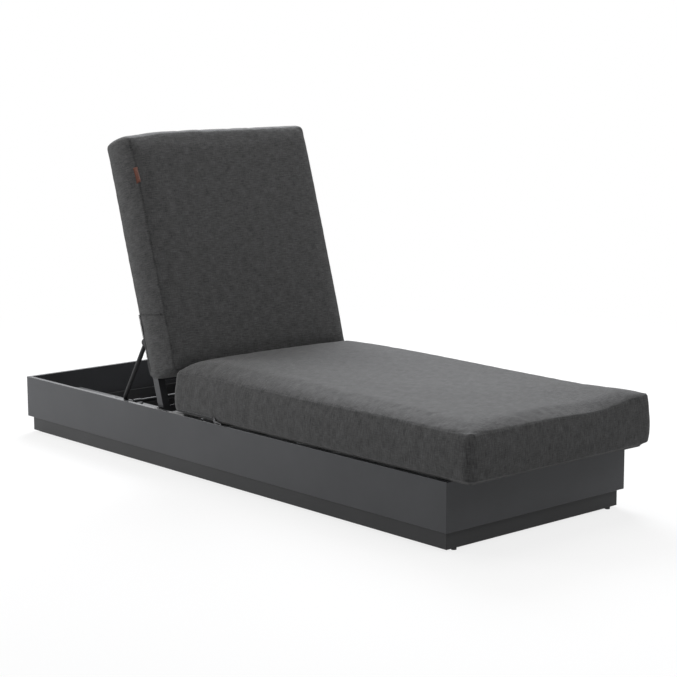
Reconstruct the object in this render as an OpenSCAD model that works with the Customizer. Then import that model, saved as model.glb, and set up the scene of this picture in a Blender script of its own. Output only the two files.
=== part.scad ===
// Adjustable lounger on a low box base. The back frame hinges near the middle of
// the base and leans on a bent rod stay, whose foot bar sits in notched racks.
// Two loose cushions lie on the base and on the back frame.

/* [Base frame] */
// Length of the base, foot end to head end
frame_l = 2000; // [1900:10:2200]
// Width of the base
frame_w = 700; // [640:10:800]
// Height of the upper band of panels
band_h = 134.5; // [125:0.5:160]
// Thickness of the panels and of the plinth boards
wall_t = 13.5; // [10:0.5:16]
// Height of the recessed plinth that shows below the band
plinth_h = 47.5; // [30:0.5:80]
// Part of each plinth board that stands behind the band
plinth_lap = 38; // [20:1:38]

/* [Glides] */
// Height of a glide below the plinth
glide_h = 6; // [3:0.5:12]
// Diameter of a glide
glide_d = 15; // [12:0.5:24]
// Diameter of the stem that is pressed into the plinth board
glide_stem_d = 6; // [4:0.5:8]
// Length of the stem
glide_stem_l = 15; // [8:1:25]
// Distance of a glide's middle from the plinth's corner
glide_inset = 33; // [20:1:120]

/* [Corner brackets] */
// Length of each leaf of a corner bracket
corner_leaf = 40; // [25:1:60]
// Thickness of a corner bracket
corner_t = 3; // [2:0.5:5]
// Gap between a corner bracket and the plinth boards
corner_lift = 0.5; // [0.5:0.5:10]
// Distance of a corner bracket's top below the rim
corner_drop = 38; // [30:1:40]

/* [Seat deck] */
// Number of slats under the seat cushion
slat_count = 8; // [8:1:8]
// Width of a slat
slat_w = 70; // [50:1:90]
// Thickness of a slat
slat_t = 18; // [12:1:20]
// Distance from the foot panel to the first slat
slat_start = 42; // [42:1:80]
// Distance from the last slat to the hinge line
slat_end = 75; // [60:1:120]
// Width of each leaf of the angle that carries the slats
ledge_leaf = 30; // [20:1:40]
// Thickness of that angle
ledge_t = 3; // [2:0.5:4]
// Depth of a cross bearer along the lounger
bearer_w = 25; // [20:1:40]
// Height of a cross bearer
bearer_h = 40; // [25:1:45]
// Wall of a cross bearer
bearer_wall = 2; // [1.5:0.5:3]
// Distance from the rim down to the bearer under the hinge
hinge_bearer_drop = 62; // [60:1:70]
// Gap between that bearer and the plinth boards
hinge_bearer_lift = 4.5; // [0.5:0.5:10]

/* [Rear shelves and racks] */
// Width of the shelf along each side, behind the hinge
shelf_w = 165; // [120:1:220]
// Thickness of a shelf
shelf_t = 3; // [2:0.5:4]
// Height of the flange that fastens a shelf to the side
shelf_flange = 30; // [15:1:34]
// Distance from the rim down to the top of a shelf
shelf_drop = 52; // [50:1:60]
// Distance from the hinge line to the front end of a shelf
shelf_start = 60; // [50:1:120]
// Width of a notched rack
rack_w = 18; // [12:1:22]
// Length of the lug at each end of a rack
rack_lug = 12; // [8:1:20]
// Depth of a rack's notches
rack_notch = 8; // [5:0.5:9]
// Length of a rubber buffer under the folded back frame
buffer_l = 25; // [15:1:40]
// Distance of a buffer from the back frame's top end
buffer_inset = 60; // [55:1:120]

/* [Back hinge] */
// Gap between the folded back frame and the head panel
head_gap = 8.5; // [5:0.5:40]
// Distance from the rim down to the hinge line
hinge_drop = 11; // [10:0.5:14]
// Diameter of a hinge bolt
hinge_bolt_d = 12; // [8:0.5:12]
// Diameter of the nut on a hinge bolt
hinge_nut_d = 16; // [14:0.5:16]
// Thickness of that nut
hinge_nut_t = 4; // [3:0.5:6]
// Outer diameter of a hinge bush
hinge_bush_d = 22; // [18:0.5:26]
// Thickness of a hinge plate
hinge_plate_t = 5; // [3:0.5:6]
// Length of a hinge plate along the lounger
hinge_plate_l = 60; // [40:1:70]
// Height of a hinge plate
hinge_plate_h = 55; // [46:1:56]
// Distance from the rim down to a hinge plate's top
hinge_plate_drop = 3; // [2:0.5:6]
// Diameter of a hinge plate's screws
plate_screw_d = 4; // [3:0.5:5]
// Diameter of their heads
plate_screw_head_d = 8; // [7:0.5:10]
// Height of their heads
plate_screw_head_h = 2.5; // [2:0.5:3]
// Distance of those screws from the plate's edges
plate_screw_inset = 9; // [8:0.5:12]

/* [Back frame] */
// Angle of the raised back above the horizontal
back_elev = 73.3; // [70:0.1:76]
// Length of the back frame from the hinge line
back_frame_l = 700; // [660:5:700]
// Part of the back frame in front of the hinge line
tube_tail = 13; // [12:0.5:15]
// Width of a side tube across the lounger
tube_w = 25; // [20:1:25]
// Depth of a side tube
tube_h = 26; // [24:0.5:26]
// Wall of the tubes
tube_wall = 2; // [1.5:0.5:2]
// Gap between a side tube and the base's inner face
tube_side_gap = 20.5; // [20.5:0.5:24]
// Depth of the top and bottom rails along the back
rail_w = 25; // [24:1:40]
// Number of slats in the back
back_slat_count = 4; // [4:1:4]
// Width of a back slat
back_slat_w = 70; // [50:1:100]
// Thickness of a back slat
back_slat_t = 6; // [4:0.5:8]
// Thickness of the caps on the side tubes
cap_t = 3; // [2:0.5:5]
// Length of the caps inside the tubes
cap_plug = 12; // [6:1:20]

/* [Stay] */
// Distance of the stay's pivot from the hinge line
stay_pivot = 215; // [200:1:225]
// Length of the stay from pivot to foot bar
stay_l = 252; // [250:1:256]
// Angle of the raised stay below the horizontal
stay_fall = 57.8; // [57:0.1:59]
// Angle of the folded stay below the horizontal
stay_flat_fall = 5.5; // [5.5:0.1:6.5]
// Diameter of the stay's rod
rod_d = 14; // [12:0.5:14]
// Gap from a leg's centre line to the base's inner face
stay_side_gap = 11.5; // [11.5:0.5:12]
// Bend radius between a leg and the foot bar
bend_r = 40; // [30:1:60]
// Diameter of the eye at a leg's upper end
eye_d = 22; // [18:0.5:24]
// Width of that eye
eye_w = 15; // [14.5:0.1:15]
// Diameter of a pivot pin
stay_pin_d = 8; // [6:0.5:10]
// Diameter of a pivot pin's head
stay_pin_head_d = 18; // [14:0.5:20]
// Thickness of a pivot pin's head
stay_pin_head_t = 2.5; // [1.5:0.1:2.5]
// Diameter of the sleeves on the foot bar
sleeve_d = 18; // [17:0.5:19]
// Length of a sleeve
sleeve_l = 28; // [24:1:28]

/* [Seat cushion] */
// Reach of the seat cushion past the foot end
seat_overhang = 78; // [40:1:100]
// Height of the seat cushion's sides between its seams
seat_side_h = 133; // [90:1:160]
// Rise of its top above the seam
seat_crown = 20; // [8:1:30]
// Swell of its sides
seat_bulge = 11; // [4:0.5:14]
// Distance of its seam inside the frame's sides
seat_inset = 5; // [0:0.5:15]
// Radius of its upright corners
seat_corner_r = 17; // [17:1:60]

/* [Back cushion] */
// Length of the back cushion
back_cushion_l = 743; // [600:1:745]
// Thickness of its sides between its seams
back_side_h = 137; // [80:1:150]
// Rise of its front above the seam
back_crown = 12; // [6:1:30]
// Swell of its sides
back_bulge = 6; // [2:0.5:10]
// Distance of its seam inside the frame's sides
back_inset = 9.5; // [9.5:0.5:30]
// Distance of its lower end from the hinge line, with the back raised
back_cushion_lift = 92; // [88:1:110]
// Radius of its corners
back_corner_r = 15; // [15:1:50]

/* [Label tab] */
// Length of the blank tab along the back cushion's seam
tab_l = 50; // [10:1:60]
// Reach of the tab out of the seam
tab_w = 14; // [6:1:14]
// Thickness of the tab
tab_t = 1.5; // [1:0.1:3]
// Distance of the tab below the back cushion's upper end
tab_drop = 101; // [60:1:300]

/* [Fits] */
// Radial clearance of a running fit
running_gap = 0.05; // [0.01:0.01:0.1]
// Gap between pieces that move past each other
moving_gap = 0.3; // [0.2:0.1:0.6]
// Gap under the back cushion
cushion_gap = 0.5; // [0.3:0.1:1]
// Gap between the seat cushion's seam and the raised back cushion
seat_back_gap = 8; // [6:0.5:20]

/* [Hidden] */
overrun = 1;
$fn = 48;

frame_colour = "#3a3b3e";
dark_colour = "#1d1e20";
steel_colour = "#9a9da1";
fabric_colour = "#4a4b4e";

// The base stands about a middle that counts the seat cushion's overhang
frame_mid = (seat_overhang + seat_bulge) / 2;
foot_y = frame_mid - frame_l / 2;
head_y = frame_mid + frame_l / 2;
inner_half = frame_w / 2 - wall_t;
inner_foot_y = foot_y + wall_t;
inner_head_y = head_y - wall_t;
plinth_z = glide_h;
band_z = plinth_z + plinth_h;
rim_z = band_z + band_h;
plinth_top_z = band_z + plinth_lap;

hinge_y = inner_head_y - head_gap - cap_t - back_frame_l;
hinge_z = rim_z - hinge_drop;
shelf_z = rim_z - shelf_drop;
ledge_z = rim_z - slat_t;
bearer_top_z = ledge_z - ledge_t;
bearer_half = inner_half - ledge_t;
slat_first = inner_foot_y + slat_start;
slat_last = hinge_y - slat_end;
slat_pitch = (slat_last - slat_w - slat_first) / (slat_count - 1);
bearer_shares = [0.24, 0.76];

tube_half = inner_half - tube_side_gap;
tube_low = hinge_drop - tube_h;
rail_half = tube_half - tube_w;
back_slat_first = rail_w - tube_tail;
back_slat_room = back_frame_l - rail_w - back_slat_first;
back_slat_step = (back_slat_room - back_slat_count * back_slat_w) / (back_slat_count + 1);

stay_half = inner_half - stay_side_gap;
stay_mid_t = hinge_drop - tube_h / 2;
leg_l = stay_l - bend_r;
bar_half = stay_half - bend_r;
sleeve_x = bar_half - sleeve_l / 2;
sleeve_hole_r = sleeve_d / 2 + moving_gap;
collar_d = 2 * stay_pin_d;
pin_end_x = rail_half + tube_wall + moving_gap;
eye_in_x = stay_half - eye_w / 2;
eye_out_x = stay_half + eye_w / 2;

// Places along the swing of the back, from raised to flat, where the stay locks
stop_shares = [0.14, 0.28, 0.44, 0.64];
// Steps of the swing that the rack's top follows
swing_shares = [for (i = [0:20]) i / 20];
way_end_share = 0.95;
// Room between the foot bar's sleeves and the rack's top
rack_clear = 1.5;

seat_base_z = rim_z + moving_gap;
seat_half_w = frame_w / 2 - seat_inset;
back_low_t = hinge_drop + cushion_gap;
back_half_w = frame_w / 2 - back_inset;
back_corner_y = hinge_y + back_cushion_lift * cos(back_elev)
    - (back_low_t + back_side_h) * sin(back_elev);
seat_foot_y = foot_y - seat_overhang;
seat_rear_y = back_corner_y - seat_back_gap;

// Shape of a cushion's section, as shares of its own sizes
edge_inset_shares = [1.1, 0.45, 0.1];
edge_rise_shares = [0, 0.02, 0.07];
side_rise_shares = [0.18, 0.32, 0.5, 0.68, 0.82, 0.93, 1];
top_scale_shares = [0.985, 0.96, 0.91, 0.8, 0.6, 0.3];
crown_power = 7;
corner_steps = 5;
side_steps = 9;

// A board along Y with both ends cut at 45 degrees, its outer face at x = 0
module mitred_board(length, height) {
    linear_extrude(height)
        polygon([
            [0, -length / 2], [wall_t, wall_t - length / 2],
            [wall_t, length / 2 - wall_t], [0, length / 2],
        ]);
}

// Puts its children on the left as drawn, or mirrored on the right
module on_side(right) {
    mirror([right ? 1 : 0, 0, 0]) children();
}

// Puts its children at the foot end as drawn, or mirrored at the head end
module on_end(head) {
    translate([0, frame_mid, 0]) mirror([0, head ? 1 : 0, 0]) children();
}

// A rod along X from x0 to x1
module rod_x(x0, x1, radius) {
    translate([x0, 0, 0]) rotate([0, 90, 0]) cylinder(h = x1 - x0, r = radius);
}

// A rectangular tube along X, centred, with its near low corner at y = z = 0
module tube_x(half_l, depth, height, wall) {
    translate([-half_l, 0, 0])
        difference() {
            cube([2 * half_l, depth, height]);
            translate([-overrun, wall, wall])
                cube([2 * (half_l + overrun), depth - 2 * wall, height - 2 * wall]);
        }
}

module side_panel(right) {
    color(frame_colour) on_side(right)
        translate([-frame_w / 2, frame_mid, band_z]) mitred_board(frame_l, band_h);
}

module end_panel(head) {
    color(frame_colour) on_end(head)
        translate([0, -frame_l / 2, band_z]) rotate([0, 0, 90])
            mitred_board(frame_w, band_h);
}

module plinth_side(right) {
    color(frame_colour) on_side(right)
        translate([-inner_half, frame_mid, plinth_z])
            mitred_board(frame_l - 2 * wall_t, plinth_h + plinth_lap);
}

// Places of the two glides under the foot board, seen from the frame's middle
function glide_x(right) = (right ? 1 : -1) * (inner_half - glide_inset);
glide_y = (wall_t - frame_l) / 2 + wall_t;

module plinth_end(head) {
    color(frame_colour) on_end(head)
        difference() {
            translate([0, wall_t - frame_l / 2, plinth_z]) rotate([0, 0, 90])
                mitred_board(2 * inner_half, plinth_h + plinth_lap);
            for (right = [false, true])
                translate([glide_x(right), glide_y, plinth_z - overrun])
                    cylinder(h = glide_stem_l + moving_gap + overrun,
                             r = glide_stem_d / 2 + running_gap);
        }
}

module glide(head, right) {
    color(dark_colour) on_end(head)
        translate([glide_x(right), glide_y, 0]) {
            cylinder(h = glide_h, r = glide_d / 2);
            cylinder(h = glide_h + glide_stem_l, r = glide_stem_d / 2);
        }
}

module corner_bracket(head, right) {
    low_z = plinth_top_z + corner_lift;
    color(steel_colour) on_end(head) on_side(right)
        translate([-inner_half, wall_t - frame_l / 2, low_z])
            linear_extrude(rim_z - corner_drop - low_z)
                polygon([
                    [0, 0], [corner_leaf, 0], [corner_leaf, corner_t],
                    [corner_t, corner_t], [corner_t, corner_leaf], [0, corner_leaf],
                ]);
}

module ledge(right) {
    start = inner_foot_y + corner_leaf;
    color(frame_colour) on_side(right)
        translate([-inner_half, start, ledge_z]) {
            translate([0, 0, -ledge_t]) cube([ledge_leaf, slat_last - start, ledge_t]);
            translate([0, 0, -ledge_leaf])
                cube([ledge_t, slat_last - start, ledge_leaf]);
        }
}

module seat_slat(i) {
    color(frame_colour)
        translate([moving_gap - inner_half, slat_first + i * slat_pitch, ledge_z])
            cube([2 * (inner_half - moving_gap), slat_w, slat_t]);
}

module bearer(i) {
    along = slat_first + bearer_shares[i] * (slat_last - slat_first);
    color(frame_colour) translate([0, along, bearer_top_z - bearer_h])
        tube_x(bearer_half, bearer_w, bearer_h, bearer_wall);
}

module hinge_bearer() {
    low_z = plinth_top_z + hinge_bearer_lift;
    color(frame_colour) translate([0, hinge_y - bearer_w / 2, low_z])
        tube_x(inner_half, bearer_w, rim_z - hinge_bearer_drop - low_z, bearer_wall);
}

module shelf(right) {
    start = hinge_y + shelf_start;
    length = inner_head_y - corner_leaf - start;
    color(frame_colour) on_side(right) translate([-inner_half, start, shelf_z]) {
        translate([0, 0, -shelf_t]) cube([shelf_w, length, shelf_t]);
        translate([0, 0, -shelf_flange]) cube([shelf_t, length, shelf_flange]);
    }
}

// Place of the stay's foot bar as [y, z] from the hinge line, a share of the way down
function foot_at(share) =
    let (
        back = back_elev * (1 - share),
        fall = stay_fall + (stay_flat_fall - stay_fall) * share
    )
    [
        stay_pivot * cos(back) - stay_mid_t * sin(back) + stay_l * cos(fall),
        stay_pivot * sin(back) + stay_mid_t * cos(back) - stay_l * sin(fall),
    ];

// A notched bar. Its top follows the foot bar's way, its notches lie below that.
module rack(right) {
    shelf_rise = shelf_z - hinge_z;
    rest = foot_at(0);
    flat = foot_at(1);
    reach = sleeve_hole_r + rack_lug;
    below = sleeve_d / 2 + rack_clear;
    color(dark_colour) on_side(right)
        translate([-sleeve_x - rack_w / 2, hinge_y, hinge_z])
            rotate([90, 0, 90]) difference() {
                linear_extrude(rack_w) polygon(concat(
                    [
                        [flat[0] + reach, shelf_rise], [rest[0] - reach, shelf_rise],
                        [rest[0] - reach, rest[1]],
                        [rest[0] + running_gap, rest[1]],
                        [rest[0] + running_gap, rest[1] - below],
                    ],
                    [for (share = swing_shares) if (share > 0 && share < way_end_share)
                        [foot_at(share)[0], foot_at(share)[1] - below]],
                    [
                        [flat[0] - running_gap, flat[1] - below],
                        [flat[0] - running_gap, flat[1]],
                        [flat[0] + reach, flat[1]],
                    ]
                ));
                for (share = concat([0, 1], stop_shares))
                    translate([foot_at(share)[0],
                               foot_at(share)[1] - (share > 0 && share < 1 ? rack_notch : 0),
                               -overrun])
                        cylinder(h = rack_w + 2 * overrun, r = sleeve_hole_r);
            }
}

module buffer(right) {
    top = hinge_z + tube_low - moving_gap;
    size_x = tube_w - 2 * tube_wall;
    color(dark_colour) on_side(right)
        translate([-tube_half + (tube_w - size_x) / 2,
                   hinge_y + back_frame_l - buffer_inset, shelf_z])
            cube([size_x, buffer_l, top - shelf_z]);
}

// Places of one hinge plate's screws, from the plate's near low corner
plate_screws = [
    for (y = [plate_screw_inset, hinge_plate_l - plate_screw_inset])
        for (z = [plate_screw_inset, hinge_plate_h - plate_screw_inset]) [y, z]
];
plate_y = hinge_y - hinge_plate_l / 2;
plate_z = rim_z - hinge_plate_drop - hinge_plate_h;

module hinge_plate(right) {
    color(frame_colour) on_side(right) difference() {
        translate([-inner_half, plate_y, plate_z])
            cube([hinge_plate_t, hinge_plate_l, hinge_plate_h]);
        translate([0, hinge_y, hinge_z])
            rod_x(-inner_half - overrun, -inner_half + hinge_plate_t + overrun,
                  hinge_bolt_d / 2 + running_gap);
        for (at = plate_screws)
            translate([0, plate_y + at[0], plate_z + at[1]])
                rod_x(-inner_half - overrun, -inner_half + hinge_plate_t + overrun,
                      plate_screw_d / 2 + running_gap);
    }
}

module hinge_screws() {
    color(steel_colour) for (right = [false, true]) on_side(right)
        for (at = plate_screws)
            translate([-inner_half, plate_y + at[0], plate_z + at[1]]) {
                rod_x(running_gap, hinge_plate_t + overrun, plate_screw_d / 2);
                rod_x(hinge_plate_t, hinge_plate_t + plate_screw_head_h,
                      plate_screw_head_d / 2);
            }
}

module hinge_bolt(right) {
    nut_x = -rail_half + moving_gap;
    color(steel_colour) on_side(right) translate([0, hinge_y, hinge_z]) {
        rod_x(-inner_half + running_gap, nut_x + hinge_nut_t, hinge_bolt_d / 2);
        rod_x(nut_x, nut_x + hinge_nut_t, hinge_nut_d / 2);
    }
}

module hinge_bush(right) {
    outer_x = -inner_half + hinge_plate_t;
    inner_x = -tube_half - moving_gap;
    color(dark_colour) on_side(right) translate([0, hinge_y, hinge_z]) difference() {
        rod_x(outer_x, inner_x, hinge_bush_d / 2);
        rod_x(outer_x - overrun, inner_x + overrun, hinge_bolt_d / 2 + running_gap);
    }
}

// Puts its children, drawn with the back lying flat, on the raised back
module on_back() {
    translate([0, hinge_y, hinge_z]) rotate([back_elev, 0, 0]) children();
}

module back_tube(right) {
    length = back_frame_l + tube_tail;
    color(frame_colour) on_back() on_side(right) difference() {
        translate([-tube_half, -tube_tail, tube_low]) cube([tube_w, length, tube_h]);
        translate([-tube_half + tube_wall, -tube_tail - overrun, tube_low + tube_wall])
            cube([tube_w - 2 * tube_wall, length + 2 * overrun, tube_h - 2 * tube_wall]);
        rod_x(-tube_half - overrun, -rail_half + overrun,
              hinge_bolt_d / 2 + running_gap);
        translate([0, stay_pivot, stay_mid_t])
            rod_x(-tube_half - overrun, -rail_half + overrun,
                  stay_pin_d / 2 + running_gap);
    }
}

module back_rail(along) {
    color(frame_colour) on_back() translate([0, along, tube_low])
        tube_x(rail_half, rail_w, tube_h, tube_wall);
}

module back_slat(i) {
    along = back_slat_first + back_slat_step + i * (back_slat_w + back_slat_step);
    color(frame_colour) on_back()
        translate([-rail_half, along, hinge_drop - back_slat_t])
            cube([2 * rail_half, back_slat_w, back_slat_t]);
}

module back_cap(right) {
    color(dark_colour) on_back() on_side(right)
        translate([-tube_half, back_frame_l, tube_low]) {
            cube([tube_w, cap_t, tube_h]);
            translate([tube_wall, -cap_plug, tube_wall])
                cube([tube_w - 2 * tube_wall, cap_plug + cap_t, tube_h - 2 * tube_wall]);
        }
}

// Puts its children, drawn along Y from the pivot, on the raised stay
module on_stay() {
    on_back() translate([0, stay_pivot, stay_mid_t])
        rotate([-stay_fall - back_elev, 0, 0]) children();
}

module stay_pin(right) {
    color(steel_colour) on_side(right) on_back() translate([0, stay_pivot, stay_mid_t]) {
        rod_x(-eye_out_x - moving_gap - stay_pin_head_t, -pin_end_x, stay_pin_d / 2);
        rod_x(-eye_out_x - moving_gap - stay_pin_head_t, -eye_out_x - moving_gap,
              stay_pin_head_d / 2);
        rod_x(-eye_in_x + moving_gap, -tube_half, collar_d / 2);
    }
}

module stay_leg(right) {
    color(frame_colour) on_side(right) on_stay() {
        difference() {
            union() {
                rod_x(-eye_out_x, -eye_in_x, eye_d / 2);
                translate([-stay_half, 0, 0]) rotate([-90, 0, 0])
                    cylinder(h = leg_l, r = rod_d / 2);
            }
            rod_x(-eye_out_x - overrun, -eye_in_x + overrun, stay_pin_d / 2 + running_gap);
        }
        translate([-bar_half, leg_l, 0]) rotate([0, 0, 90])
            rotate_extrude(angle = 90) translate([bend_r, 0]) circle(d = rod_d);
    }
}

module stay_bar() {
    color(frame_colour) on_stay() translate([0, stay_l, 0])
        rod_x(-bar_half, bar_half, rod_d / 2);
    color(dark_colour) on_stay() translate([0, stay_l, 0])
        for (right = [false, true]) on_side(right)
            rod_x(-sleeve_x - sleeve_l / 2, -sleeve_x + sleeve_l / 2, sleeve_d / 2);
}

// A rounded rectangle of points, grown by swell and scaled about its middle
function corner_x(q) = q == 0 || q == 3 ? 1 : -1;
function corner_y(q) = q < 2 ? 1 : -1;
function ring(half_w, half_l, radius, swell, scale_share) = [
    for (q = [0:3])
        let (
            middle = [corner_x(q) * (half_w - radius), corner_y(q) * (half_l - radius)],
            next = (q + 1) % 4,
            far = [corner_x(next) * (half_w - radius), corner_y(next) * (half_l - radius)],
            out = [cos(90 * (q + 1)), sin(90 * (q + 1))]
        )
        each concat(
            [for (j = [0:corner_steps])
                let (turn = 90 * (q + j / corner_steps))
                scale_share * (middle + (radius + swell) * [cos(turn), sin(turn)])],
            [for (j = [1:side_steps])
                scale_share * (middle + (far - middle) * j / (side_steps + 1)
                    + (radius + swell) * out)]
        )
];
ring_count = 4 * (corner_steps + 1 + side_steps);

// A box cushion: flat below, swollen sides, seam ring at side_h, crowned top
module cushion(half_w, half_l, side_h, crown, bulge, radius) {
    edges = [for (i = [0:len(edge_rise_shares) - 1])
        [-bulge * edge_inset_shares[i], side_h * edge_rise_shares[i], 1]];
    sides = [for (share = side_rise_shares)
        [bulge * sin(180 * share), side_h * share, 1]];
    tops = [for (share = top_scale_shares)
        [0, side_h + crown * sqrt(1 - pow(share, crown_power)), share]];
    levels = concat(edges, sides, tops);
    points = concat(
        [[0, 0, 0]],
        [for (level = levels) each
            [for (p = ring(half_w, half_l, radius, level[0], level[2]))
                [p[0], p[1], level[1]]]],
        [[0, 0, side_h + crown]]
    );
    last = len(levels) - 1;
    faces = concat(
        [for (j = [0:ring_count - 1]) [0, 1 + j, 1 + (j + 1) % ring_count]],
        [for (i = [0:last - 1]) for (j = [0:ring_count - 1])
            let (
                here = 1 + i * ring_count + j,
                beside = 1 + i * ring_count + (j + 1) % ring_count
            )
            each [
                [here, here + ring_count, beside + ring_count],
                [here, beside + ring_count, beside],
            ]],
        [for (j = [0:ring_count - 1])
            [len(points) - 1, 1 + last * ring_count + (j + 1) % ring_count,
             1 + last * ring_count + j]]
    );
    polyhedron(points = points, faces = faces);
}

module seat_cushion() {
    half_l = (seat_rear_y - seat_foot_y) / 2;
    color(fabric_colour) translate([0, seat_foot_y + half_l, seat_base_z])
        cushion(seat_half_w, half_l, seat_side_h, seat_crown, seat_bulge, seat_corner_r);
}

module back_cushion() {
    color(fabric_colour) on_back()
        translate([0, back_cushion_lift + back_cushion_l / 2, back_low_t])
            cushion(back_half_w, back_cushion_l / 2, back_side_h, back_crown,
                    back_bulge, back_corner_r);
}

module label_tab() {
    color("#a4502c") on_back()
        translate([-back_half_w - moving_gap - tab_w,
                   back_cushion_lift + back_cushion_l - tab_drop - tab_l,
                   back_low_t + back_side_h - tab_t])
            cube([tab_w, tab_l, tab_t]);
}

side_panel(false);  // side_panel_left
side_panel(true);  // side_panel_right
end_panel(false);  // foot_panel
end_panel(true);  // head_panel
plinth_side(false);  // plinth_left
plinth_side(true);  // plinth_right
plinth_end(false);  // plinth_foot
plinth_end(true);  // plinth_head
glide(false, false);  // glide_1
glide(false, true);  // glide_2
glide(true, false);  // glide_3
glide(true, true);  // glide_4
corner_bracket(false, false);  // corner_bracket_1
corner_bracket(false, true);  // corner_bracket_2
corner_bracket(true, false);  // corner_bracket_3
corner_bracket(true, true);  // corner_bracket_4
ledge(false);  // ledge_left
ledge(true);  // ledge_right
seat_slat(0);  // seat_slat_1
seat_slat(1);  // seat_slat_2
seat_slat(2);  // seat_slat_3
seat_slat(3);  // seat_slat_4
seat_slat(4);  // seat_slat_5
seat_slat(5);  // seat_slat_6
seat_slat(6);  // seat_slat_7
seat_slat(7);  // seat_slat_8
bearer(0);  // bearer_1
bearer(1);  // bearer_2
hinge_bearer();
shelf(false);  // shelf_left
shelf(true);  // shelf_right
rack(false);  // rack_left
rack(true);  // rack_right
buffer(false);  // buffer_left
buffer(true);  // buffer_right
hinge_plate(false);  // hinge_plate_left
hinge_plate(true);  // hinge_plate_right
hinge_screws();
hinge_bolt(false);  // hinge_bolt_left
hinge_bolt(true);  // hinge_bolt_right
hinge_bush(false);  // hinge_bush_left
hinge_bush(true);  // hinge_bush_right
back_tube(false);  // back_tube_left
back_tube(true);  // back_tube_right
back_rail(-tube_tail);  // back_rail_bottom
back_rail(back_frame_l - rail_w);  // back_rail_top
back_slat(0);  // back_slat_1
back_slat(1);  // back_slat_2
back_slat(2);  // back_slat_3
back_slat(3);  // back_slat_4
back_cap(false);  // back_cap_left
back_cap(true);  // back_cap_right
stay_pin(false);  // stay_pin_left
stay_pin(true);  // stay_pin_right
stay_leg(false);  // stay_leg_left
stay_leg(true);  // stay_leg_right
stay_bar();
seat_cushion();
back_cushion();
label_tab();
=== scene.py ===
"""Adjustable lounger: a box base, a hinged back on a rod stay and two loose cushions."""

import logging
import math
from contextlib import contextmanager
from dataclasses import dataclass
from enum import Enum
from typing import Any, Callable, Iterable, Iterator, Sequence

import bmesh
import bpy
import numpy as np
from mathutils import Matrix, Vector, noise


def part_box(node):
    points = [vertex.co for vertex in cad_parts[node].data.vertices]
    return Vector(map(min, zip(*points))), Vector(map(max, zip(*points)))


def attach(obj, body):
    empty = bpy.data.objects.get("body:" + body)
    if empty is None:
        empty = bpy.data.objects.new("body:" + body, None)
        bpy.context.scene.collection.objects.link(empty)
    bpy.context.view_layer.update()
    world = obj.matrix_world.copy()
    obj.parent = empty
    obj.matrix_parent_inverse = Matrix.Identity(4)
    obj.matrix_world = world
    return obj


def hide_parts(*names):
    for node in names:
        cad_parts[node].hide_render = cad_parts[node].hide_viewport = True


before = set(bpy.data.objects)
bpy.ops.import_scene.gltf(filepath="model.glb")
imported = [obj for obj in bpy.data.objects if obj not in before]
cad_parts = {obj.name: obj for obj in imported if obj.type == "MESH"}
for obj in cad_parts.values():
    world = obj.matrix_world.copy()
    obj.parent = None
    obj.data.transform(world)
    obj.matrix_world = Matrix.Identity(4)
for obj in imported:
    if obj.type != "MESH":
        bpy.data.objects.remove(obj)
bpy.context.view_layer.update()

LOG = logging.getLogger("lounger")
WEAVE_MAP = "Weave"
FACING = "facing"
# Point attribute that holds painted shade along the seams.
SEAM_SHADE = "seam_line"
SMOOTH_ANGLE = math.radians(35)
FLAT_ANGLE = math.radians(1)
WELD = 1e-6
TOUCH = 1e-5
LOW_SEAM = 3
COVER_CLOTH = {
    "quality": 6, "mass": 0.3, "tension_stiffness": 25, "compression_stiffness": 25,
    "shear_stiffness": 8, "bending_stiffness": 0.35, "vertex_group_mass": "hold",
    "pin_stiffness": 1.0, "use_pressure": True, "uniform_pressure_force": 1.5}
Array = np.ndarray
Object = bpy.types.Object
Material = bpy.types.Material
Pair = tuple[float, float]
Triple = tuple[float, float, float]
Colour = Triple
Faces = list[tuple[int, ...]]


class Body(Enum):
    """The rigid bodies that pieces ride on."""

    BASE = "base"
    BACK = "back_frame"
    STAY = "stay"
    SEAT_PAD = "seat_pad"
    BACK_PAD = "back_pad"


class Slot(Enum):
    """The finishes named in the record."""

    COAT = "charcoal_coat"
    ROD = "satin_rod"
    STEEL = "bright_steel"
    PLASTIC = "black_plastic"
    RUBBER = "black_rubber"
    FABRIC = "charcoal_fabric"
    TAPE = "rust_tape"


class Winding(Enum):
    """The order in which a sheet's faces take their four corners."""

    ALONG = (0, 1, 2, 3)
    ACROSS = (0, 3, 2, 1)
    BACK = (3, 2, 1, 0)


@dataclass(frozen=True)
class Plan:
    """Main sizes of the lounger, in metres and degrees."""

    frame_l: float = 2.0
    frame_w: float = 0.7
    mid_y: float = 0.0445
    wall: float = 0.0135
    glide_h: float = 0.006
    plinth_h: float = 0.0475
    plinth_lap: float = 0.038
    band_h: float = 0.1345
    hinge: Pair = (0.3195, 0.177)
    back_elev: float = 73.3

    @property
    def inner_half(self) -> float:
        """Half the width between the side panels."""
        return self.frame_w / 2 - self.wall

    @property
    def band_z(self) -> float:
        """Height of the band's lower edge."""
        return self.glide_h + self.plinth_h

    @property
    def rim_z(self) -> float:
        """Height of the band's upper edge."""
        return self.band_z + self.band_h

    @property
    def on_back(self) -> Matrix:
        """Places a shape drawn with the back lying flat on the raised back."""
        turn = Matrix.Rotation(math.radians(self.back_elev), 4, "X")
        return Matrix.Translation((0, *self.hinge)) @ turn


PLAN = Plan()


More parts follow.
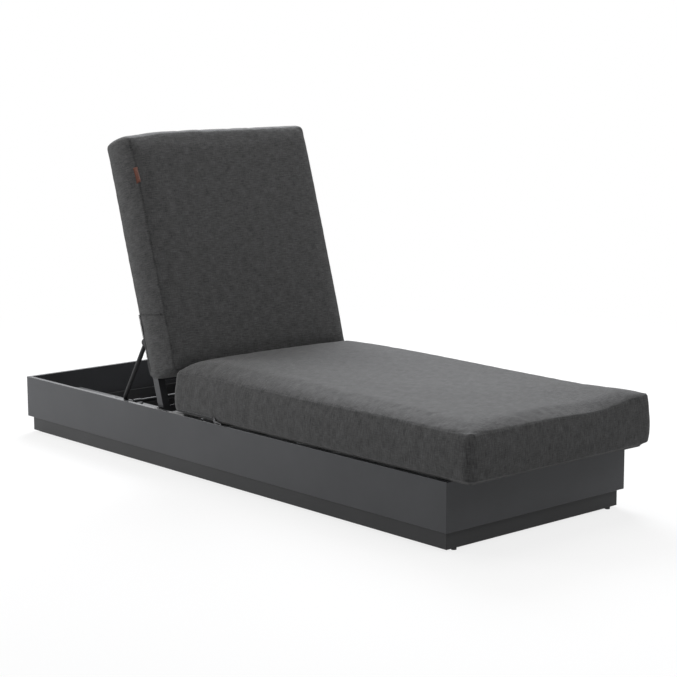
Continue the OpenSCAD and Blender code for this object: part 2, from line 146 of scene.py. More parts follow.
class Flow:
    """A node's output that takes part in arithmetic."""

    def __init__(self, bench: "Bench", socket: bpy.types.NodeSocket) -> None:
        """Wraps one output socket of a bench's tree."""
        self.bench, self.socket = bench, socket

    def __add__(self, other: Any) -> "Flow":
        """Sum."""
        return self.bench.maths("ADD", self, other)

    def __sub__(self, other: Any) -> "Flow":
        """Difference."""
        return self.bench.maths("SUBTRACT", self, other)

    def __rsub__(self, other: Any) -> "Flow":
        """Difference from a number."""
        return self.bench.maths("SUBTRACT", other, self)

    def __mul__(self, other: Any) -> "Flow":
        """Product."""
        return self.bench.maths("MULTIPLY", self, other)

    __radd__, __rmul__ = __add__, __mul__


class Bench:
    """Builds one node tree, for a material or for Geometry Nodes."""

    def __init__(self, tree: bpy.types.NodeTree) -> None:
        """Takes over a tree and empties it."""
        self.tree = tree
        tree.nodes.clear()

    def node(self, kind: str, values: dict[Any, Any] | None = None,
             **settings: Any) -> bpy.types.Node:
        """Adds a node.

        Args:
            kind: Blender's name of the node's type.
            values: Numbers or Flows for the inputs, by name or index.
            **settings: Properties, set before the inputs; "stops" places a ramp's ends.

        Returns:
            The new node.
        """
        made = self.tree.nodes.new(kind)
        for key, value in settings.items():
            if key == "stops":
                for element, stop in zip(made.color_ramp.elements, value):
                    element.position = stop
            else:
                setattr(made, key, value)
        for key, value in (values or {}).items():
            if isinstance(value, Flow):
                self.tree.links.new(value.socket, made.inputs[key])
            else:
                made.inputs[key].default_value = value
        return made

    def flow(self, kind: str, values: dict[Any, Any] | None = None, output: Any = 0,
             **settings: Any) -> Flow:
        """Adds a node and returns one of its outputs."""
        return Flow(self, self.node(kind, values, **settings).outputs[output])

    def maths(self, operation: str, first: Any, second: Any = 0.0) -> Flow:
        """One Math node on numbers or Flows."""
        return self.flow("ShaderNodeMath", {0: first, 1: second}, operation=operation)

    def white_seen(self) -> Flow:
        """Tells the rays that show the surroundings.

        Returns:
            1 for camera rays, glossy rays and rays through glass, 0 for others.
        """
        rays = self.node("ShaderNodeLightPath").outputs
        camera, glossy, glass = (Flow(self, rays[f"Is {kind} Ray"])
                                 for kind in ("Camera", "Glossy", "Transmission"))
        return self.maths("MINIMUM", camera + glossy + glass, 1.0)


class Paint(Bench):
    """Builds one material round a Principled shader."""

    def __init__(self, name: str, fixed: dict[str, Any]) -> None:
        """Makes the material.

        Args:
            name: Name of the material.
            fixed: Values of the shader's sockets that are the same everywhere.
        """
        self.material = bpy.data.materials.new(name)
        self.material.use_nodes = True
        super().__init__(self.material.node_tree)
        self.shader = self.node("ShaderNodeBsdfPrincipled", fixed)
        self.result = self.node("ShaderNodeOutputMaterial")
        self.tree.links.new(self.shader.outputs[0], self.result.inputs[0])

    def place(self) -> Flow:
        """Object coordinates, in metres."""
        return self.flow("ShaderNodeTexCoord", output="Object")

    def weave(self) -> list[Flow]:
        """The two ways of the fabric's own map, in metres."""
        return self.split(self.flow("ShaderNodeUVMap", uv_map=WEAVE_MAP))[:2]

    def split(self, vector: Flow) -> list[Flow]:
        """The three parts of a vector."""
        return [Flow(self, s) for s in self.node("ShaderNodeSeparateXYZ", {0: vector}).outputs]

    def join(self, x: Flow, y: Flow) -> Flow:
        """A vector from two parts."""
        return self.flow("ShaderNodeCombineXYZ", {0: x, 1: y})

    def speckle(self, vector: Flow, scale: float, detail: float = 2.0) -> Flow:
        """Noise from 0 to 1."""
        return self.flow("ShaderNodeTexNoise",
                         {"Vector": vector, "Scale": scale, "Detail": detail})

    def ramp(self, value: Flow, *stops: float) -> Flow:
        """Black up to the first stop and white from the second."""
        return self.flow("ShaderNodeValToRGB", {0: value}, stops=stops)

    def bump(self, height: Flow, distance: float, strength: float) -> Flow:
        """A normal from a height of 0 to 1 that stands for a distance in metres."""
        return self.flow("ShaderNodeBump",
                         {"Height": height, "Distance": distance, "Strength": strength})


@dataclass(frozen=True)
class Finish:
    """A named finish between a dark and a light colour."""

    name: str
    dark: Colour
    light: Colour

    def close(self, paint: Paint, tone: Flow, **varying: Flow) -> Material:
        """Feeds the shader.

        Args:
            paint: The material's bench.
            tone: 0 for the dark colour, 1 for the light one.
            **varying: Other sockets that vary, by name.

        Returns:
            The material.
        """
        varying["base_color"] = paint.flow(
            "ShaderNodeMix", {0: tone, 6: (*self.dark, 1.0), 7: (*self.light, 1.0)},
            output=2, data_type="RGBA")
        for name, value in varying.items():
            socket = paint.shader.inputs[name.replace("_", " ").title()]
            paint.tree.links.new(value.socket, socket)
        return paint.material


@dataclass(frozen=True)
class PowderCoat(Finish):
    """Powder coating: fine orange peel, faint clouds and dust in a matt film."""

    rough: Pair
    gloss: float
    peel: float = 0.00006

    def build(self) -> Material:
        """Makes the material.

        Returns:
            The material.
        """
        paint = Paint(self.name, {"Specular IOR Level": self.gloss})
        place = paint.place()
        cloud = paint.speckle(place, scale=5.0, detail=4.0)
        grain = paint.speckle(place, scale=900.0, detail=2.0)
        dust = paint.ramp(paint.speckle(place, scale=260.0, detail=3.0), 0.66, 0.8)
        smooth, rough = self.rough
        height = grain * 0.6 + paint.speckle(place, scale=350.0, detail=1.0) * 0.4
        return self.close(paint, cloud * 0.55 + grain * 0.3 + dust * 0.3,
                          roughness=smooth + (rough - smooth) * (cloud * 0.7 + grain * 0.3),
                          normal=paint.bump(height, distance=self.peel, strength=0.6))


@dataclass(frozen=True)
class HeatherWeave(Finish):
    """Plain weave of dark and light yarns that mix in slubs along both ways."""

    yarn: float = 0.0011
    depth: float = 0.0003
    sheen: float = 0.12

    def build(self) -> Material:
        """Makes the material.

        Returns:
            The material.
        """
        paint = Paint(self.name, {"Roughness": 0.92, "Specular IOR Level": 0.25,
                                  "Sheen Weight": self.sheen, "Sheen Roughness": 0.45})
        x, y = paint.weave()
        weft = paint.speckle(paint.join(x * 42.0, y * 400.0), scale=1.0, detail=2.0)
        warp = paint.speckle(paint.join(x * 400.0, y * 60.0), scale=1.0, detail=2.0)
        fleck = paint.speckle(paint.join(x, y), scale=520.0, detail=1.0)
        cloud = paint.speckle(paint.join(x, y), scale=34.0, detail=4.0)
        turn = math.pi / self.yarn
        over = paint.maths("SINE", x * turn) * paint.maths("SINE", y * turn)
        yarns = paint.ramp(weft * 0.62 + warp * 0.38, 0.36, 0.64)
        seam = paint.flow("ShaderNodeAttribute", output="Fac", attribute_name=SEAM_SHADE)
        # Painted shade: the seam attribute darkens the tone along the seams and over the lap
        # folds.
        tone = yarns * 0.40 + fleck * 0.20 + cloud * 0.41 + over * 0.12 - seam * 0.11
        height = over * 0.35 + weft * 0.45 + warp * 0.35
        normal = paint.bump(height, distance=self.depth, strength=0.8)
        return self.close(paint, tone, normal=normal)


@dataclass(frozen=True)
class Ribbed(Finish):
    """Narrow woven tape with ribs across it."""

    rib: float = 0.0012

    def build(self) -> Material:
        """Makes the material.

        Returns:
            The material.
        """
        paint = Paint(self.name, {"Roughness": 0.8, "Sheen Weight": 0.15})
        x, y = paint.weave()
        ribs = paint.maths("SINE", y * (math.tau / self.rib)) * 0.5 + 0.5
        fleck = paint.speckle(paint.join(x * 300.0, y * 900.0), scale=1.0, detail=2.0)
        cloud = paint.speckle(paint.join(x, y), scale=40.0, detail=2.0)
        return self.close(paint, ribs * 0.35 + fleck * 0.35 + cloud * 0.4,
                          normal=paint.bump(ribs + fleck * 0.4, distance=0.0003, strength=0.8))


@dataclass(frozen=True)
class Moulded(Finish):
    """Moulded plastic or rubber with a fine grain and faint flow marks."""

    rough: Pair
    grain: float = 0.00008

    def build(self) -> Material:
        """Makes the material.

        Returns:
            The material.
        """
        paint = Paint(self.name, {"Specular IOR Level": 0.4})
        place = paint.place()
        cloud = paint.speckle(place, scale=30.0, detail=4.0)
        grain = paint.speckle(place, scale=1400.0, detail=2.0)
        smooth, rough = self.rough
        return self.close(paint, cloud * 0.7 + grain * 0.3,
                          roughness=smooth + (rough - smooth) * cloud,
                          normal=paint.bump(grain, distance=self.grain, strength=0.7))


@dataclass(frozen=True)
class PlatedSteel(Finish):
    """Plated steel with soft spangles."""

    def build(self) -> Material:
        """Makes the material.

        Returns:
            The material.
        """
        paint = Paint(self.name, {"Metallic": 1.0})
        place = paint.place()
        spangle = paint.speckle(place, scale=220.0, detail=4.0)
        scratch = paint.speckle(place, scale=1600.0, detail=1.0)
        return self.close(paint, spangle, roughness=0.25 + spangle * 0.25,
                          normal=paint.bump(scratch, distance=0.00003, strength=0.5))


class Finishes:
    """Every finish of the lounger, built once."""

    def __init__(self) -> None:
        """Builds the materials."""
        self.coat = PowderCoat("matt_charcoal_coat", (0.050, 0.0513, 0.0545),
                               (0.102, 0.1045, 0.111), rough=(0.26, 0.34), gloss=0.18).build()
        # A darker copy of the charcoal coat: painted shade for the plinth and the parts inside the
        # base.
        self.low_coat = PowderCoat("matt_low_coat", (0.0365, 0.0369, 0.0381),
                                   (0.077, 0.0779, 0.0804), rough=(0.32, 0.42), gloss=0.14).build()
        self.rod = PowderCoat("satin_rod_coat", (0.018, 0.018, 0.019),
                              (0.042, 0.0425, 0.044), rough=(0.50, 0.60), gloss=0.14).build()
        self.fabric = HeatherWeave("charcoal_heather", (0.005, 0.005, 0.0051),
                                   (0.125, 0.125, 0.1256)).build()
        self.thread = Ribbed("charcoal_thread", (0.030, 0.031, 0.033),
                             (0.09, 0.092, 0.095)).build()
        self.zip_tape = Ribbed("dark_zip_tape", (0.012, 0.012, 0.013),
                               (0.035, 0.036, 0.038)).build()
        self.rust = Ribbed("rust_tape", (0.030, 0.008, 0.0045), (0.165, 0.043, 0.018)).build()
        self.plastic = Moulded("black_plastic", (0.012, 0.012, 0.013),
                               (0.028, 0.028, 0.030), rough=(0.42, 0.62)).build()
        self.rubber = Moulded("black_rubber", (0.010, 0.010, 0.010),
                              (0.022, 0.022, 0.022), rough=(0.70, 0.88)).build()
        self.steel = PlatedSteel("zinc_steel", (0.42, 0.42, 0.43), (0.62, 0.63, 0.65)).build()
        self.dark_steel = PlatedSteel("blackened_steel", (0.030, 0.030, 0.032),
                                      (0.075, 0.075, 0.079)).build()
        self.pull = PlatedSteel("grey_zip_metal", (0.045, 0.045, 0.047),
                                (0.105, 0.105, 0.109)).build()

    def of(self, slot: Slot) -> Material:
        """The material of a slot in the record."""
        return {Slot.COAT: self.coat, Slot.ROD: self.rod, Slot.STEEL: self.steel,
                Slot.PLASTIC: self.plastic, Slot.RUBBER: self.rubber,
                Slot.FABRIC: self.fabric, Slot.TAPE: self.rust}[slot]


def belt(count: int, low: int, high: int) -> Faces:
    """Faces between two closed rings of points, given the rings' first numbers."""
    return [(low + i, low + (i + 1) % count, high + (i + 1) % count, high + i)
            for i in range(count)]


def prism(count: int) -> Faces:
    """Faces of a closed prism on two rings of points."""
    ends = [tuple(range(count - 1, -1, -1)), tuple(range(count, 2 * count))]
    return ends + belt(count, 0, count)


def pair(stem: str) -> tuple[str, str]:
    """Names of the left and the right one of two pieces."""
    return stem + "_left", stem + "_right"


def link(name: str, data: bpy.types.ID) -> Object:
    """Puts a mesh, a lamp or a camera in the scene.

    Args:
        name: Name of the object.
        data: The mesh, the lamp or the camera.

    Returns:
        The object.
    """
    made = bpy.data.objects.new(name, data)
    bpy.context.scene.collection.objects.link(made)
    return made


def discard(made: Object) -> None:
    """Removes an object and its mesh.

    Args:
        made: The object.
    """
    mesh = made.data
    bpy.data.objects.remove(made)
    bpy.data.meshes.remove(mesh)


@contextmanager
def opened(made: Object) -> Iterator[bmesh.types.BMesh]:
    """Lends an object's mesh for editing and writes it back.

    Args:
        made: The object.

    Yields:
        The mesh, open for editing.
    """
    shape = bmesh.new()
    shape.from_mesh(made.data)
    yield shape
    shape.to_mesh(made.data)
    shape.free()


def node_box(node: str, place: Matrix) -> tuple[Vector, Vector]:
    """A CAD node's box in the frame that a matrix places.

    Args:
        node: The node.
        place: Places the frame.

    Returns:
        The lower and the upper corner.
    """
    undo = place.inverted()
    spots = np.array([undo @ v.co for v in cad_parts[node].data.vertices])
    return Vector(spots.min(0)), Vector(spots.max(0))


class Workshop:
    """Mesh helpers that every sub-assembly uses."""

    def __init__(self, finishes: Finishes) -> None:
        """Keeps the finishes at hand."""
        self.finishes = finishes

    def raw(self, name: str, points: Any, faces: Any, maps: Any = None) -> Object:
        """An object from points and faces.

        Args:
            name: Name of the piece.
            points: Its points.
            faces: Numbers of each face's points.
            maps: Places of each face's corners on the weave's map.

        Returns:
            The object.
        """
        mesh = bpy.data.meshes.new(name)
        mesh.from_pydata([tuple(p) for p in points], [], [tuple(f) for f in faces])
        mesh.update()
        if maps is not None:
            uv = mesh.uv_layers.new(name=WEAVE_MAP)
            uv.data.foreach_set("uv", np.array(maps, np.float32).ravel())
        return link(name, mesh)

    def solid(self, name: str, points: Any, faces: Any) -> Object:
        """As raw, with the faces turned outwards.

        Args:
            name: Name of the piece.
            points: Its points.
            faces: Numbers of each face's points.

        Returns:
            The object.
        """
        made = self.raw(name, points, faces)
        with opened(made) as shape:
            bmesh.ops.recalc_face_normals(shape, faces=shape.faces)
        return made

    def sheets(self, name: str, leaves: Sequence[tuple[list, Winding]],
               spot: Callable[[int, int], Pair]) -> Object:
        """Sheets of cloth in one mesh.

        Args:
            name: Name of the piece.
            leaves: Each sheet's rows of points, and its faces' winding.
            spot: Gives the place on the weave's map for a row and a column.

        Returns:
            The object.
        """
        points, faces, maps = [], [], []
        for rows, winding in leaves:
            start, wide = len(points), len(rows[0])
            points += [p for row in rows for p in row]
            for r in range(len(rows) - 1):
                for c in range(wide - 1):
                    quad = [(r, c), (r, c + 1), (r + 1, c + 1), (r + 1, c)]
                    quad = [quad[k] for k in winding.value]
                    faces.append([start + a * wide + b for a, b in quad])
                    maps.append([spot(a, b) for a, b in quad])
        return self.raw(name, points, faces, maps)

    def sew(self, made: Object, place: Matrix, thick: float, offset: float,
            angle: float = SMOOTH_ANGLE) -> None:
        """Gives sheets their thickness and their place.

        Args:
            made: The sheets.
            place: Where they go.
            thick: Their thickness.
            offset: 1 to grow outwards, -1 inwards.
            angle: Edges past this angle stay crisp.
        """
        thickness = made.modifiers.new("Thickness", "SOLIDIFY")
        thickness.thickness, thickness.offset = thick, offset
        made.data.transform(place)
        self.smooth(made, angle)

    def mark_seam(self, made: Object, values: Array) -> None:
        """Stores how much painted shade darkens the weave's colour at each point."""
        made.data.attributes.new(SEAM_SHADE, "FLOAT", "POINT").data.foreach_set(
            "value", values.astype(np.float32))

    def smooth(self, made: Object, angle: float = SMOOTH_ANGLE) -> None:
        """Smooth shading with crisp edges past an angle."""
        made.data.polygons.foreach_set("use_smooth", [True] * len(made.data.polygons))
        made.data.set_sharp_from_angle(angle=angle)

    def soften_edges(self, made: Object, edge: float,
                     skip: Callable[[Vector, Vector], bool] = lambda a, b: False) -> None:
        """Rounds an object's sharp edges.

        Args:
            made: The object.
            edge: Width of the rounding.
            skip: Says of an edge's two ends whether it stays sharp.
        """
        with opened(made) as shape:
            sharp = [e for e in shape.edges
                     if len(e.link_faces) == 2 and e.calc_face_angle() > SMOOTH_ANGLE
                     and not skip(e.verts[0].co, e.verts[1].co)]
            bmesh.ops.bevel(shape, geom=sharp, offset=edge, segments=3, profile=0.5,
                            affect="EDGES", clamp_overlap=True)
        self.smooth(made)
        weigh = made.modifiers.new("Even shading", "WEIGHTED_NORMAL")
        weigh.keep_sharp = True

    def dress(self, made: Object, body: Body, slot: Slot, nodes: Iterable[str] = (),
              material: Material | None = None) -> None:
        """Gives a finished piece what the frame needs to know.

        Args:
            made: The piece.
            body: The body that it rides on.
            slot: Its finish in the record.
            nodes: The CAD nodes that it stands for.
            material: Its material, if not the slot's own.
        """
        made.data.materials.clear()
        made.data.materials.append(material or self.finishes.of(slot))
        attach(made, body.value)
        if nodes:
            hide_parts(*nodes)
        LOG.info("%s on %s, %d faces", made.name, body.value, len(made.data.polygons))

    def soften(self, nodes: Iterable[str], body: Body, slot: Slot, edge: float,
               material: Material | None = None) -> None:
        """Makes copies of CAD nodes with rounded edges, each standing for its node.

        Args:
            nodes: The CAD nodes.
            body: The body that they ride on.
            slot: Their finish in the record.
            edge: Width of the rounding.
            material: Their material, if not the slot's own.
        """
        for node in nodes:
            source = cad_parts[node].data
            made = self.raw(node + "_soft", [v.co for v in source.vertices],
                            [p.vertices for p in source.polygons])
            with opened(made) as shape:
                bmesh.ops.remove_doubles(shape, verts=shape.verts, dist=WELD)
                bmesh.ops.dissolve_limit(shape, angle_limit=FLAT_ANGLE,
                                         verts=shape.verts, edges=shape.edges)
            self.soften_edges(made, edge)
            self.dress(made, body, slot, [node], material)

    def keep(self, nodes: Iterable[str], slot: Slot) -> None:
        """Gives CAD nodes that stay their finish.

        Args:
            nodes: The CAD nodes.
            slot: Their finish in the record.
        """
        for node in nodes:
            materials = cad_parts[node].data.materials
            materials.clear()
            materials.append(self.finishes.of(slot))

    def board(self, low: Vector, high: Vector, edge: float) -> Object:
        """One rounded board.

        Args:
            low: Lower corner of its box.
            high: Upper corner of its box.
            edge: Width of the rounding.

        Returns:
            The board.
        """
        points = [(x, y, z) for z in (low.z, high.z) for x, y in
                  ((low.x, low.y), (high.x, low.y), (high.x, high.y), (low.x, high.y))]
        made = self.solid("slat", points, prism(4))
        self.soften_edges(made, edge)
        made.modifiers.clear()
        return made

    def screw(self, radius: float, height: float) -> Object:
        """A pan head with a hexagon socket, its seat at z = 0.

        Args:
            radius: Radius of the head.
            height: Height of the head.

        Returns:
            The screw.
        """
        steps, flat, across, floor = 18, math.pi / 6, 0.42, 0.25
        turns = [math.tau * i / steps for i in range(steps)]
        socket = [across * math.cos(flat) / math.cos(t % (2 * flat) - flat) for t in turns]
        head = ((1.0, -0.15), (1.0, 0.35), (0.93, 0.75), (0.78, 0.97), (0.60, 1.0))
        rings = [([r] * steps, z) for r, z in head] + [(socket, 1.0), (socket, floor)]
        points = [(radius * r * math.cos(t), radius * r * math.sin(t), height * z)
                  for ring, z in rings for r, t in zip(ring, turns)]
        last = (len(rings) - 1) * steps
        faces = [tuple(range(steps)), tuple(range(last, last + steps))]
        for start in range(0, last, steps):
            faces += belt(steps, start, start + steps)
        return self.solid("screw", points, faces)


class Pattern:
    """Geometry Nodes trees that repeat a small piece."""

    INPUTS = (("Geometry", "Geometry"), ("Piece", "Object"), ("Finish", "Material"),
              ("Spacing", "Float"), ("Count", "Int"))

    def __init__(self, shop: Workshop) -> None:
        """Builds the three trees.

        Args:
            shop: Mesh helpers.
        """
        self.shop = shop
        self.row = self._tree("Row of boards", self._row)
        self.spots = self._tree("Pieces on points", self._spots)
        self.run = self._tree("Pieces along a path", self._run)

    def _tree(self, name: str, fill: Callable[[Bench, dict[str, Flow]], dict]) -> Any:
        """Makes a tree that puts a piece on points.

        Args:
            name: Name of the tree.
            fill: Adds the nodes that give the points and the turns.

        Returns:
            The tree.
        """
        tree = bpy.data.node_groups.new(name, "GeometryNodeTree")
        for label, kind in self.INPUTS:
            tree.interface.new_socket(label, in_out="INPUT", socket_type="NodeSocket" + kind)
        tree.interface.new_socket("Geometry", in_out="OUTPUT",
                                  socket_type="NodeSocketGeometry")
        bench = Bench(tree)
        given = {s.name: Flow(bench, s) for s in bench.node("NodeGroupInput").outputs if s.name}
        piece = bench.flow("GeometryNodeObjectInfo", {"Object": given["Piece"]}, "Geometry",
                           transform_space="ORIGINAL")
        placed = bench.flow("GeometryNodeInstanceOnPoints",
                            {**fill(bench, given), "Instance": piece})
        real = bench.flow("GeometryNodeRealizeInstances", {"Geometry": placed})
        bench.node("NodeGroupOutput", {0: bench.flow(
            "GeometryNodeSetMaterial", {"Geometry": real, "Material": given["Finish"]})})
        return tree

    @staticmethod
    def _row(bench: Bench, given: dict[str, Flow]) -> dict[str, Flow]:
        """Even steps along Y from the origin.

        Args:
            bench: The tree's bench.
            given: The tree's inputs.

        Returns:
            Inputs for the node that puts the piece on points.
        """
        step = bench.flow("ShaderNodeCombineXYZ", {1: given["Spacing"]})
        return {"Points": bench.flow("GeometryNodeMeshLine",
                                     {"Count": given["Count"], "Offset": step})}

    @staticmethod
    def _align(bench: Bench, values: dict[str, Flow], **axes: str) -> Flow:
        """Turns an axis to a vector, or to the direction stored on each point.

        Args:
            bench: The tree's bench.
            values: Inputs of the node, with or without a vector.
            **axes: The axis, and the axis that it turns about.

        Returns:
            The rotation.
        """
        if "Vector" not in values:
            values["Vector"] = bench.flow("GeometryNodeInputNamedAttribute", {"Name": FACING},
                                          data_type="FLOAT_VECTOR")
        return bench.flow("FunctionNodeAlignRotationToVector", values, **axes)

    def _spots(self, bench: Bench, given: dict[str, Flow]) -> dict[str, Flow]:
        """The given points, Z along the stored direction."""
        return {"Points": given["Geometry"], "Rotation": self._align(bench, {}, axis="Z")}

    def _run(self, bench: Bench, given: dict[str, Flow]) -> dict[str, Flow]:
        """Even steps along a path, X along it and Z along the stored direction.

        Args:
            bench: The tree's bench.
            given: The tree's inputs.

        Returns:
            Inputs for the node that puts the piece on points.
        """
        curve = bench.flow("GeometryNodeMeshToCurve", {"Mesh": given["Geometry"]})
        even = bench.flow("GeometryNodeResampleCurve",
                          {"Curve": curve, "Length": given["Spacing"]}, mode="LENGTH")
        ahead = self._align(bench, {"Vector": bench.flow("GeometryNodeInputTangent")}, axis="X")
        return {"Points": even, "Rotation": self._align(
            bench, {"Rotation": ahead}, axis="Z", pivot_axis="X")}

    def make(self, name: str, tree: bpy.types.NodeTree, piece: Object, finish: Material,
             body: Body, slot: Slot, place: Matrix, spots: Sequence[tuple[Any, Any]] = (),
             path: bool = False, nodes: Sequence[str] = (), **sizes: float) -> None:
        """Runs a tree and dresses the result as a plain mesh object.

        Args:
            name: Name of the piece.
            tree: One of the trees.
            piece: What is repeated; it is removed afterwards.
            finish: Its material.
            body: The body that it rides on.
            slot: Its finish in the record.
            place: Where the result goes.
            spots: Points, each with a direction.
            path: Whether the points are joined as a path.
            nodes: The CAD nodes that it stands for.
            **sizes: Values of the tree's named number inputs.
        """
        mesh = bpy.data.meshes.new(name)
        edges = [(i, i + 1) for i in range(len(spots) - 1)] if path else []
        mesh.from_pydata([tuple(p) for p, _ in spots], edges, [])
        if spots:
            stored = mesh.attributes.new(FACING, "FLOAT_VECTOR", "POINT")
            stored.data.foreach_set("vector", [c for _, facing in spots for c in facing])
        carrier = link(name, mesh)
        modifier = carrier.modifiers.new("Pattern", "NODES")
        modifier.node_group = tree
        wanted = {"Piece": piece, "Finish": finish, **sizes}
        for item in tree.interface.items_tree:
            if item.in_out == "INPUT" and item.name in wanted:
                modifier[item.identifier] = wanted[item.name]
        bpy.context.view_layer.update()
        graph = bpy.context.evaluated_depsgraph_get()
        done = bpy.data.meshes.new_from_object(carrier.evaluated_get(graph))
        carrier.modifiers.remove(modifier)
        carrier.data = done
        discard(piece)
        self.shop.smooth(carrier)
        done.transform(place)
        self.shop.dress(carrier, body, slot, nodes, finish)

    def slats(self, name: str, nodes: Sequence[str], body: Body, edge: float,
              place: Matrix) -> tuple[Vector, Vector, float]:
        """A row of rounded boards that stands for the CAD's slats.

        Args:
            name: Name of the piece.
            nodes: The slats' nodes.
            body: The body that it rides on.
            edge: Width of the rounding.
            place: Places the frame in which the row lies along Y.

        Returns:
            The first slat's box in that frame, and the pitch.
        """
        low, high = node_box(nodes[0], place)
        pitch = (node_box(nodes[-1], place)[0].y - low.y) / (len(nodes) - 1)
        self.make(name, self.row, self.shop.board(low, high, edge), self.shop.finishes.coat,
                  body, Slot.COAT, place, nodes=nodes, Spacing=pitch, Count=len(nodes))
        return low, high, pitch


@dataclass
class BaseBox:
    """Upper band, recessed plinth, deck and everything fixed to them."""

    shop: Workshop
    pattern: Pattern
    corner: float = 0.0018
    edge: float = 0.0011
    arc_steps: int = 4
    thin_edge: float = 0.0005
    rack_edge: float = 0.0007
    buffer_edge: float = 0.0012
    slat_edge: float = 0.003
    slat_count: int = 8
    screw_r: float = 0.0038
    screw_h: float = 0.0016
    angle_t: float = 0.003
    bracket_screw: float = 0.014
    bracket_shift: float = 0.004
    shelf_screws: int = 6
    shelf_inset: Pair = (0.04, 0.012)
    slat_inset: Pair = (0.075, 0.018)

    def build(self) -> None:
        """Makes all pieces of the base."""
        self._boards()
        self.pattern.slats("seat_slats", [f"seat_slat_{i + 1}" for i in range(self.slat_count)],
                           Body.BASE, self.slat_edge, Matrix())
        shop, corners = self.shop, range(1, 5)
        # The ledges, bearers, hinge bearer, shelves and hinge plates take the darker coat: painted
        # shade.
        shop.soften((*pair("ledge"), "bearer_1", "bearer_2", "hinge_bearer", *pair("shelf"),
                     *pair("hinge_plate")), Body.BASE, Slot.COAT, self.thin_edge,
                    shop.finishes.low_coat)
        shop.soften(pair("rack"), Body.BASE, Slot.PLASTIC, self.rack_edge)
        shop.soften(pair("buffer"), Body.BASE, Slot.RUBBER, self.buffer_edge)
        shop.soften([f"corner_bracket_{n}" for n in corners], Body.BASE, Slot.STEEL,
                    self.thin_edge)
        shop.keep([*[f"glide_{n}" for n in corners], *pair("hinge_bush")], Slot.PLASTIC)
        shop.keep([*pair("hinge_bolt"), "hinge_screws"], Slot.STEEL)
        self._screws()

    def _board(self, length: float, height: float) -> tuple[list, Faces]:
        """A board along Y, mitred at both ends, with its outer face at x = 0.

        Args:
            length: Length of the outer face.
            height: Height of the board.

        Returns:
            Its points and its faces.
        """
        half, radius = length / 2, self.corner
        arc = [math.radians(45 * i / self.arc_steps) for i in range(self.arc_steps, -1, -1)]
        end = [(radius - radius * math.cos(t), radius - radius * math.sin(t) - half)
               for t in arc]
        loop = end + [(x, -y) for x, y in reversed(end)]
        loop += [(PLAN.wall, half - PLAN.wall), (PLAN.wall, PLAN.wall - half)]
        return [(x, y, z) for z in (0.0, height) for x, y in loop], prism(len(loop))

    def _boards(self) -> None:
        """The eight mitred boards."""
        coats = self.shop.finishes
        rows = (
            ("band", PLAN.frame_w, PLAN.frame_l, PLAN.band_z, PLAN.band_h, coats.coat,
             (*pair("side_panel"), "foot_panel", "head_panel")),
            # The plinth boards take the darker coat: painted shade under the band.
            ("plinth_board", 2 * PLAN.inner_half, PLAN.frame_l - 2 * PLAN.wall, PLAN.glide_h,
             PLAN.plinth_h + PLAN.plinth_lap, coats.low_coat,
             (*pair("plinth"), "plinth_foot", "plinth_head")),
        )
        ways = (("left", 0, -1, 0), ("right", 180, 1, 0), ("foot", 90, 0, -1), ("head", -90, 0, 1))
        for name, width, length, low, height, coat, nodes in rows:
            for (way, turn, x, y), node in zip(ways, nodes):
                along, out = (length, width / 2) if x else (width, length / 2)
                made = self.shop.solid(f"{name}_{way}", *self._board(along, height))
                self.shop.soften_edges(made, self.edge, lambda a, b: all(
                    abs(abs(p.y) - (along / 2 - p.x)) < TOUCH for p in (a, b)))
                shift = Vector((x * out, y * out + PLAN.mid_y, low))
                made.data.transform(Matrix.Translation(shift)
                                    @ Matrix.Rotation(math.radians(turn), 4, "Z"))
                self.shop.dress(made, Body.BASE, Slot.COAT, [node], coat)

    def _screws(self) -> None:
        """Screws on the brackets, shelves and slats."""
        spots = []
        face = PLAN.inner_half - self.angle_t
        for number in range(1, 5):
            low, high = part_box(f"corner_bracket_{number}")
            x, y = (low.x + high.x) / 2, (low.y + high.y) / 2
            side, end = math.copysign(1, x), math.copysign(1, y - PLAN.mid_y)
            outer = (high.y if end > 0 else low.y) - end * self.angle_t
            for z in (low.z + self.bracket_screw, high.z - self.bracket_screw):
                spots.append(((side * face, y - end * self.bracket_shift, z), (-side, 0, 0)))
                spots.append(((x - side * self.bracket_shift, outer, z), (0, -end, 0)))
        along, above = self.shelf_inset
        for node, side in zip(pair("shelf"), (-1, 1)):
            low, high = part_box(node)
            for y in np.linspace(low.y + along, high.y - along, self.shelf_screws):
                spots.append(((side * face, y, low.z + above), (-side, 0, 0)))
        across, along = self.slat_inset
        for i in range(self.slat_count):
            low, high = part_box(f"seat_slat_{i + 1}")
            spots += [((x, y, high.z - self.screw_h), (0, 0, 1))
                      for x in (low.x + across, high.x - across)
                      for y in (low.y + along, high.y - along)]
        self.pattern.make("base_screws", self.pattern.spots,
                          self.shop.screw(self.screw_r, self.screw_h),
                          self.shop.finishes.dark_steel, Body.BASE, Slot.STEEL, Matrix(), spots)


